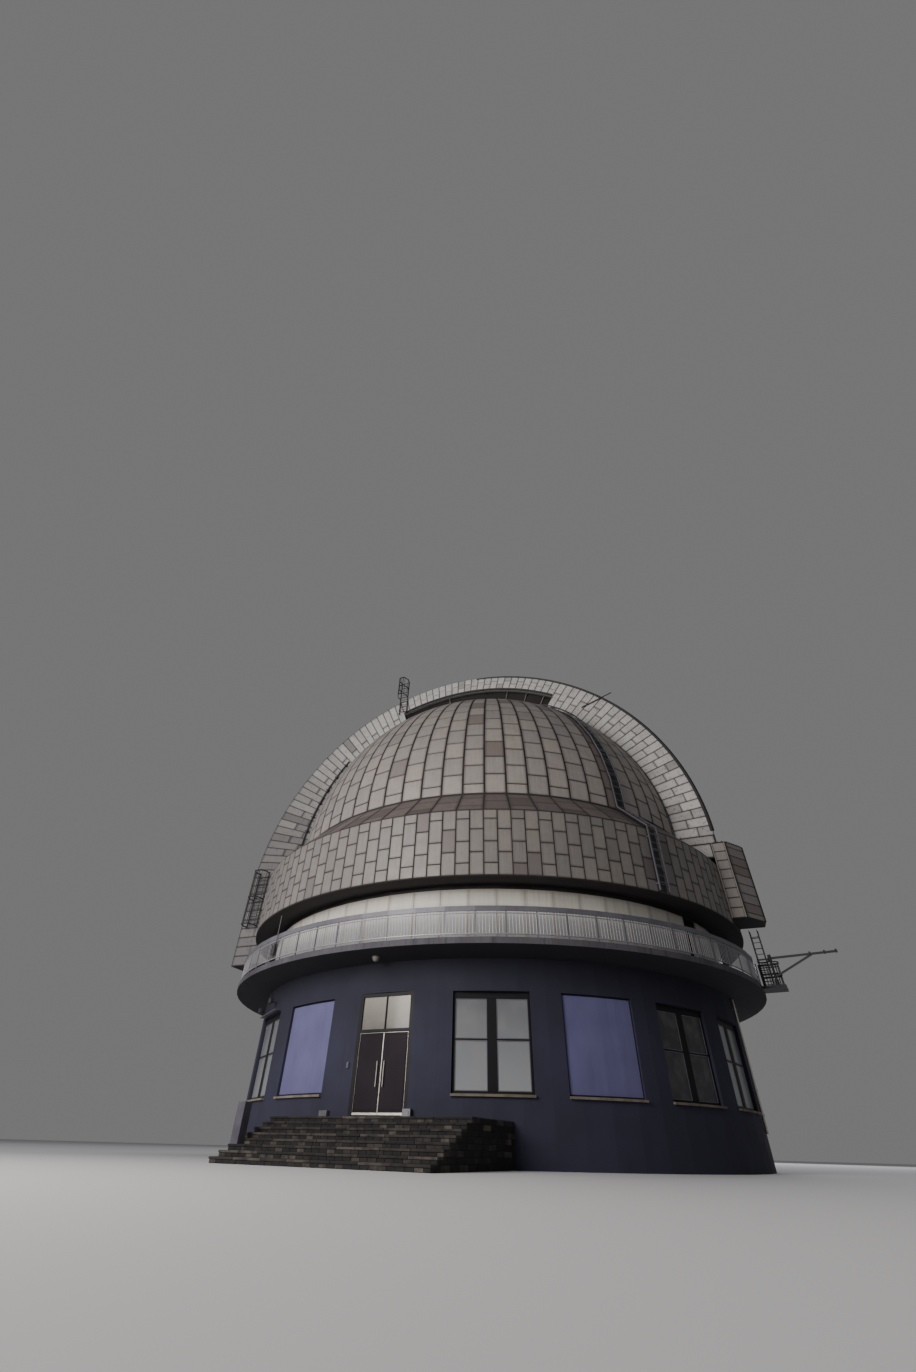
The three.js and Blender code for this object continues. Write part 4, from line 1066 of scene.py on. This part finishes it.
print("fittings on the building")
downpipe = {"azimuth": 64.3, "radius": 10.57, "ends": (5.25, 1.05), "thick": 0.05,
            "clips": (4.9, 3.6, 2.3), "clip": (10.49, 10.63, 0.022), "sleeve": (0.03, 0.058)}
azimuth = downpipe["azimuth"]
pipes = newBag()
addPost(pipes, downpipe["radius"], azimuth, downpipe["ends"], downpipe["thick"], 10)
for z in downpipe["clips"]:
    inner, outer, thick = downpipe["clip"]
    addTube(pipes, [polar(inner, azimuth, z), polar(outer, azimuth, z)], thick)
    half, thick = downpipe["sleeve"]
    addPost(pipes, downpipe["radius"], azimuth, (z - half, z + half), thick, 10)
makePiece("downpipe", pipes, brushedSteel, "building")

# Boxes on the wall: azimuth, height, width, tallness, depth. Then a bar above a window and the rod's top.
wallBoxes = {"bell": (-26.44, 2.37, 0.09, 0.17, 0.05), "boxLeft": (-30.0, 1.14, 0.32, 0.19, 0.16),
             "boxRight": (-14.2, 1.16, 0.26, 0.24, 0.16)}
windowBar = {"azimuth": -57.4, "half": 1.15, "front": -10.66, "back": -10.49, "low": 4.33, "high": 4.36}
rod = {"azimuth": -43.8, "radius": 11.83, "ends": (5.95, 7.2), "thick": 0.016,
       "sockets": ((5.78, 6.1, 0.07), (6.1, 6.17, 0.045)), "socketOut": 0.03}
small = newBag()
for azimuth, z, width, tall, depth in wallBoxes.values():
    addBlock(small, (-width / 2, -10.49 - depth, z - tall / 2), (width / 2, -10.49, z + tall / 2),
             turnedBy(azimuth), 0.012)
    addBlock(small, (-width * 0.3, -10.5 - depth, z - tall * 0.28),
             (width * 0.3, -10.48 - depth, z + tall * 0.28), turnedBy(azimuth), 0.006)
addBlock(small, (-windowBar["half"], windowBar["front"], windowBar["low"]),
         (windowBar["half"], windowBar["back"], windowBar["high"]), turnedBy(windowBar["azimuth"]), 0.006)
addPost(small, rod["radius"], rod["azimuth"], rod["ends"], rod["thick"])
makePiece("paleBoxes", small, railPaint, "building")

lamps = newBag()
for z0, z1, thick in rod["sockets"]:
    addPost(lamps, rod["radius"] + rod["socketOut"], rod["azimuth"], (z0, z1), thick, 12)
for azimuth, z in ((-62.7, 4.5), (-54.2, 4.62)):  # flood lamps on brackets at the wall
    addTube(lamps, [polar(10.49, azimuth, z), polar(10.72, azimuth, z + 0.06)], 0.018)
    addBlock(lamps, (-0.11, -10.84, z - 0.02), (0.11, -10.7, z + 0.16), turnedBy(azimuth), 0.02)
makePiece("wallLamps", lamps, blackSteel, "building")

# A bowl below the balcony: its profile has radii and heights below the centre
bowl = {"azimuth": -20.97, "radius": 11.08, "z": 5.31, "sides": 16,
        "profile": [(0.13, 0.0), (0.13, -0.03), (0.115, -0.06), (0.1, -0.1), (0.07, -0.135), (0.03, -0.15)]}
bag = newBag()
centre = polar(bowl["radius"], bowl["azimuth"], bowl["z"])
turns = [2 * math.pi * n / bowl["sides"] for n in range(bowl["sides"])]
rings = [[centre + Vector((r * math.cos(t), r * math.sin(t), z)) for t in turns] for r, z in bowl["profile"]]
for a, b in zip(rings, rings[1:]):
    for n in range(bowl["sides"]):
        addFace(bag, [b[n - 1], b[n], a[n], a[n - 1]])
addFace(bag, rings[0])
addFace(bag, rings[-1][::-1])
makePiece("soffitLamp", bag, creamGlass, "building")

print("platform and jib")
# Bars round the platform with rounded corners, and cage bars and rungs of its ladder
guard = {"inner": 11.92, "outer": 12.64, "left": 62.15, "right": 64.8, "low": 5.5, "heights": (5.95, 6.37),
         "pitch": 0.11, "thick": 0.02, "thin": 0.01}
cage = {"azimuth": 62.7, "radius": 12.11, "half": 0.15, "side": 0.3, "low": 6.45, "high": 7.56, "rungs": 9,
        "first": 5.6, "step": 0.22, "thick": 0.012}
inner, outer, left, right = (guard[key] for key in ("inner", "outer", "left", "right"))
bag = newBag()
plan = [(inner, left), (outer - 0.2, left), (outer - 0.06, left + 0.2), (outer, left + 0.6)]
plan += [(outer, left + 0.6 + (right - left - 1.2) * n / 3) for n in range(1, 4)]
plan += [(outer - 0.06, right - 0.2), (outer - 0.2, right), (inner, right)]
for z in guard["heights"]:
    addTube(bag, [polar(r, a, z) for r, a in plan], guard["thick"])
count = round(math.radians(right - left) * outer / guard["pitch"])
bars = [(outer - 0.03, left + 0.3 + (right - left - 0.6) * n / count) for n in range(count + 1)]
bars += [(inner + guard["pitch"] * n + 0.04, azimuth) for azimuth in (left, right) for n in range(6)]
for radius, azimuth in bars:
    addPost(bag, radius, azimuth, (guard["low"], guard["heights"][1]), guard["thin"], 6)
for reach in (-1, 1):
    for side in (-1, 1):
        addTube(bag, [turned(cage["azimuth"], side * cage["side"], reach * cage["half"] - cage["radius"], z)
                      for z in (cage["low"], cage["high"])], cage["thick"], 6)
for n in range(cage["rungs"]):
    z = cage["first"] + cage["step"] * n
    addTube(bag, [turned(cage["azimuth"], 0, side * cage["half"] - cage["radius"], z) for side in (-1, 1)],
            cage["thick"], 6)
makePiece("platformBars", bag, blackSteel, "building")

# Clamps along the boom, each a reach and a size, and the collars at the mast's foot and head
jib = {"azimuth": 61.4, "radius": 12.42, "clamps": ((13.85, 0.05), (14.35, 0.045), (14.74, 0.04)),
       "clampHalf": (0.045, 0.03), "boom": (6.405, 6.51), "collars": ((5.62, 5.7, 0.07), (6.36, 6.58, 0.06))}
bag = newBag()
halfX, halfY = jib["clampHalf"]
for reach, size in jib["clamps"]:
    addBlock(bag, (-halfX, -reach - halfY, jib["boom"][0]),
             (halfX, -reach + halfY, jib["boom"][1] + size / 2), turnedBy(jib["azimuth"]), 0.01)
for z0, z1, thick in jib["collars"]:
    addPost(bag, jib["radius"], jib["azimuth"], (z0, z1), thick, 16)
makePiece("jibFittings", bag, blackSteel, "jib")

# The camera stands where the photograph was taken, near the ground, and looks up. Focal length and height of
# the picture are in pixels, angles in degrees.
print("camera, floor and light")
cameraSet = {"place": (0, -30.2, 0.4), "pitch": 40.12, "roll": 1.58, "yaw": -4.18, "focal": 550, "tall": 1372,
             "sensor": 36}
pitch, roll, yaw = (math.radians(cameraSet[key]) for key in ("pitch", "roll", "yaw"))


def cameraWay(x, y, ahead):
    x, y = math.cos(roll) * x - math.sin(roll) * y, math.sin(roll) * x + math.cos(roll) * y
    y, z = ahead * math.cos(pitch) - y * math.sin(pitch), ahead * math.sin(pitch) + y * math.cos(pitch)
    return Vector((math.cos(yaw) * x + math.sin(yaw) * y, math.cos(yaw) * y - math.sin(yaw) * x, z))


camera = bpy.data.objects.new("camera", bpy.data.cameras.new("camera"))
placing = Matrix([cameraWay(1, 0, 0), cameraWay(0, 1, 0), -cameraWay(0, 0, 1)]).transposed().to_4x4()
placing.translation = Vector(cameraSet["place"])
camera.matrix_world = placing
camera.data.sensor_width = cameraSet["sensor"]
camera.data.lens = cameraSet["focal"] / cameraSet["tall"] * cameraSet["sensor"]
camera.data.clip_end = 500
bpy.context.scene.collection.objects.link(camera)
bpy.context.scene.camera = camera

# Soft area lights, each with its distance, azimuth, height, size, power and colour. The key light stands to
# the left of the camera, so light falls off to the right as in the photograph. The fill light brightens the
# left side and the back light the rear.
studio = {"floor": "#cfcfd1", "floorHalf": 150, "sky": "#ffffff", "skyStrength": 0.18, "aim": (0, 0, 9)}
lights = {"keyLight": (34, -29, 11, 13, 6700, "#fffaf4"), "fillLight": (60, -84, 18, 26, 3200, "#f2f4ff"),
          "backLight": (60, 150, 32, 34, 15000, "#faf9ff")}
floorMaterial = newMaterial("paintedStudioFloor", {"Base Color": linear(studio["floor"]),
                                                   "Roughness": 0.9})[0]
floorMesh = bpy.data.meshes.new("floor")
reach = studio["floorHalf"]
corners = [(x, y, 0) for x, y in ((-reach, -reach), (reach, -reach), (reach, reach), (-reach, reach))]
floorMesh.from_pydata(corners, [], [(0, 1, 2, 3)])
floorMesh.materials.append(floorMaterial)
floor = bpy.data.objects.new("floor", floorMesh)
bpy.context.scene.collection.objects.link(floor)

world = bpy.data.worlds.new("studio")
world.use_nodes = True
world.node_tree.nodes["Background"].inputs["Color"].default_value = linear(studio["sky"])
world.node_tree.nodes["Background"].inputs["Strength"].default_value = studio["skyStrength"]
bpy.context.scene.world = world
for name, (distance, azimuth, height, size, power, colour) in lights.items():
    light = bpy.data.lights.new(name, "AREA")
    light.energy, light.size, light.color = power, size, linear(colour)[:3]
    lightObject = bpy.data.objects.new(name, light)
    lightObject.location = polar(distance, azimuth, height)
    towards = lightObject.location - Vector(studio["aim"])
    lightObject.rotation_euler = towards.to_track_quat("Z", "Y").to_euler()
    bpy.context.scene.collection.objects.link(lightObject)
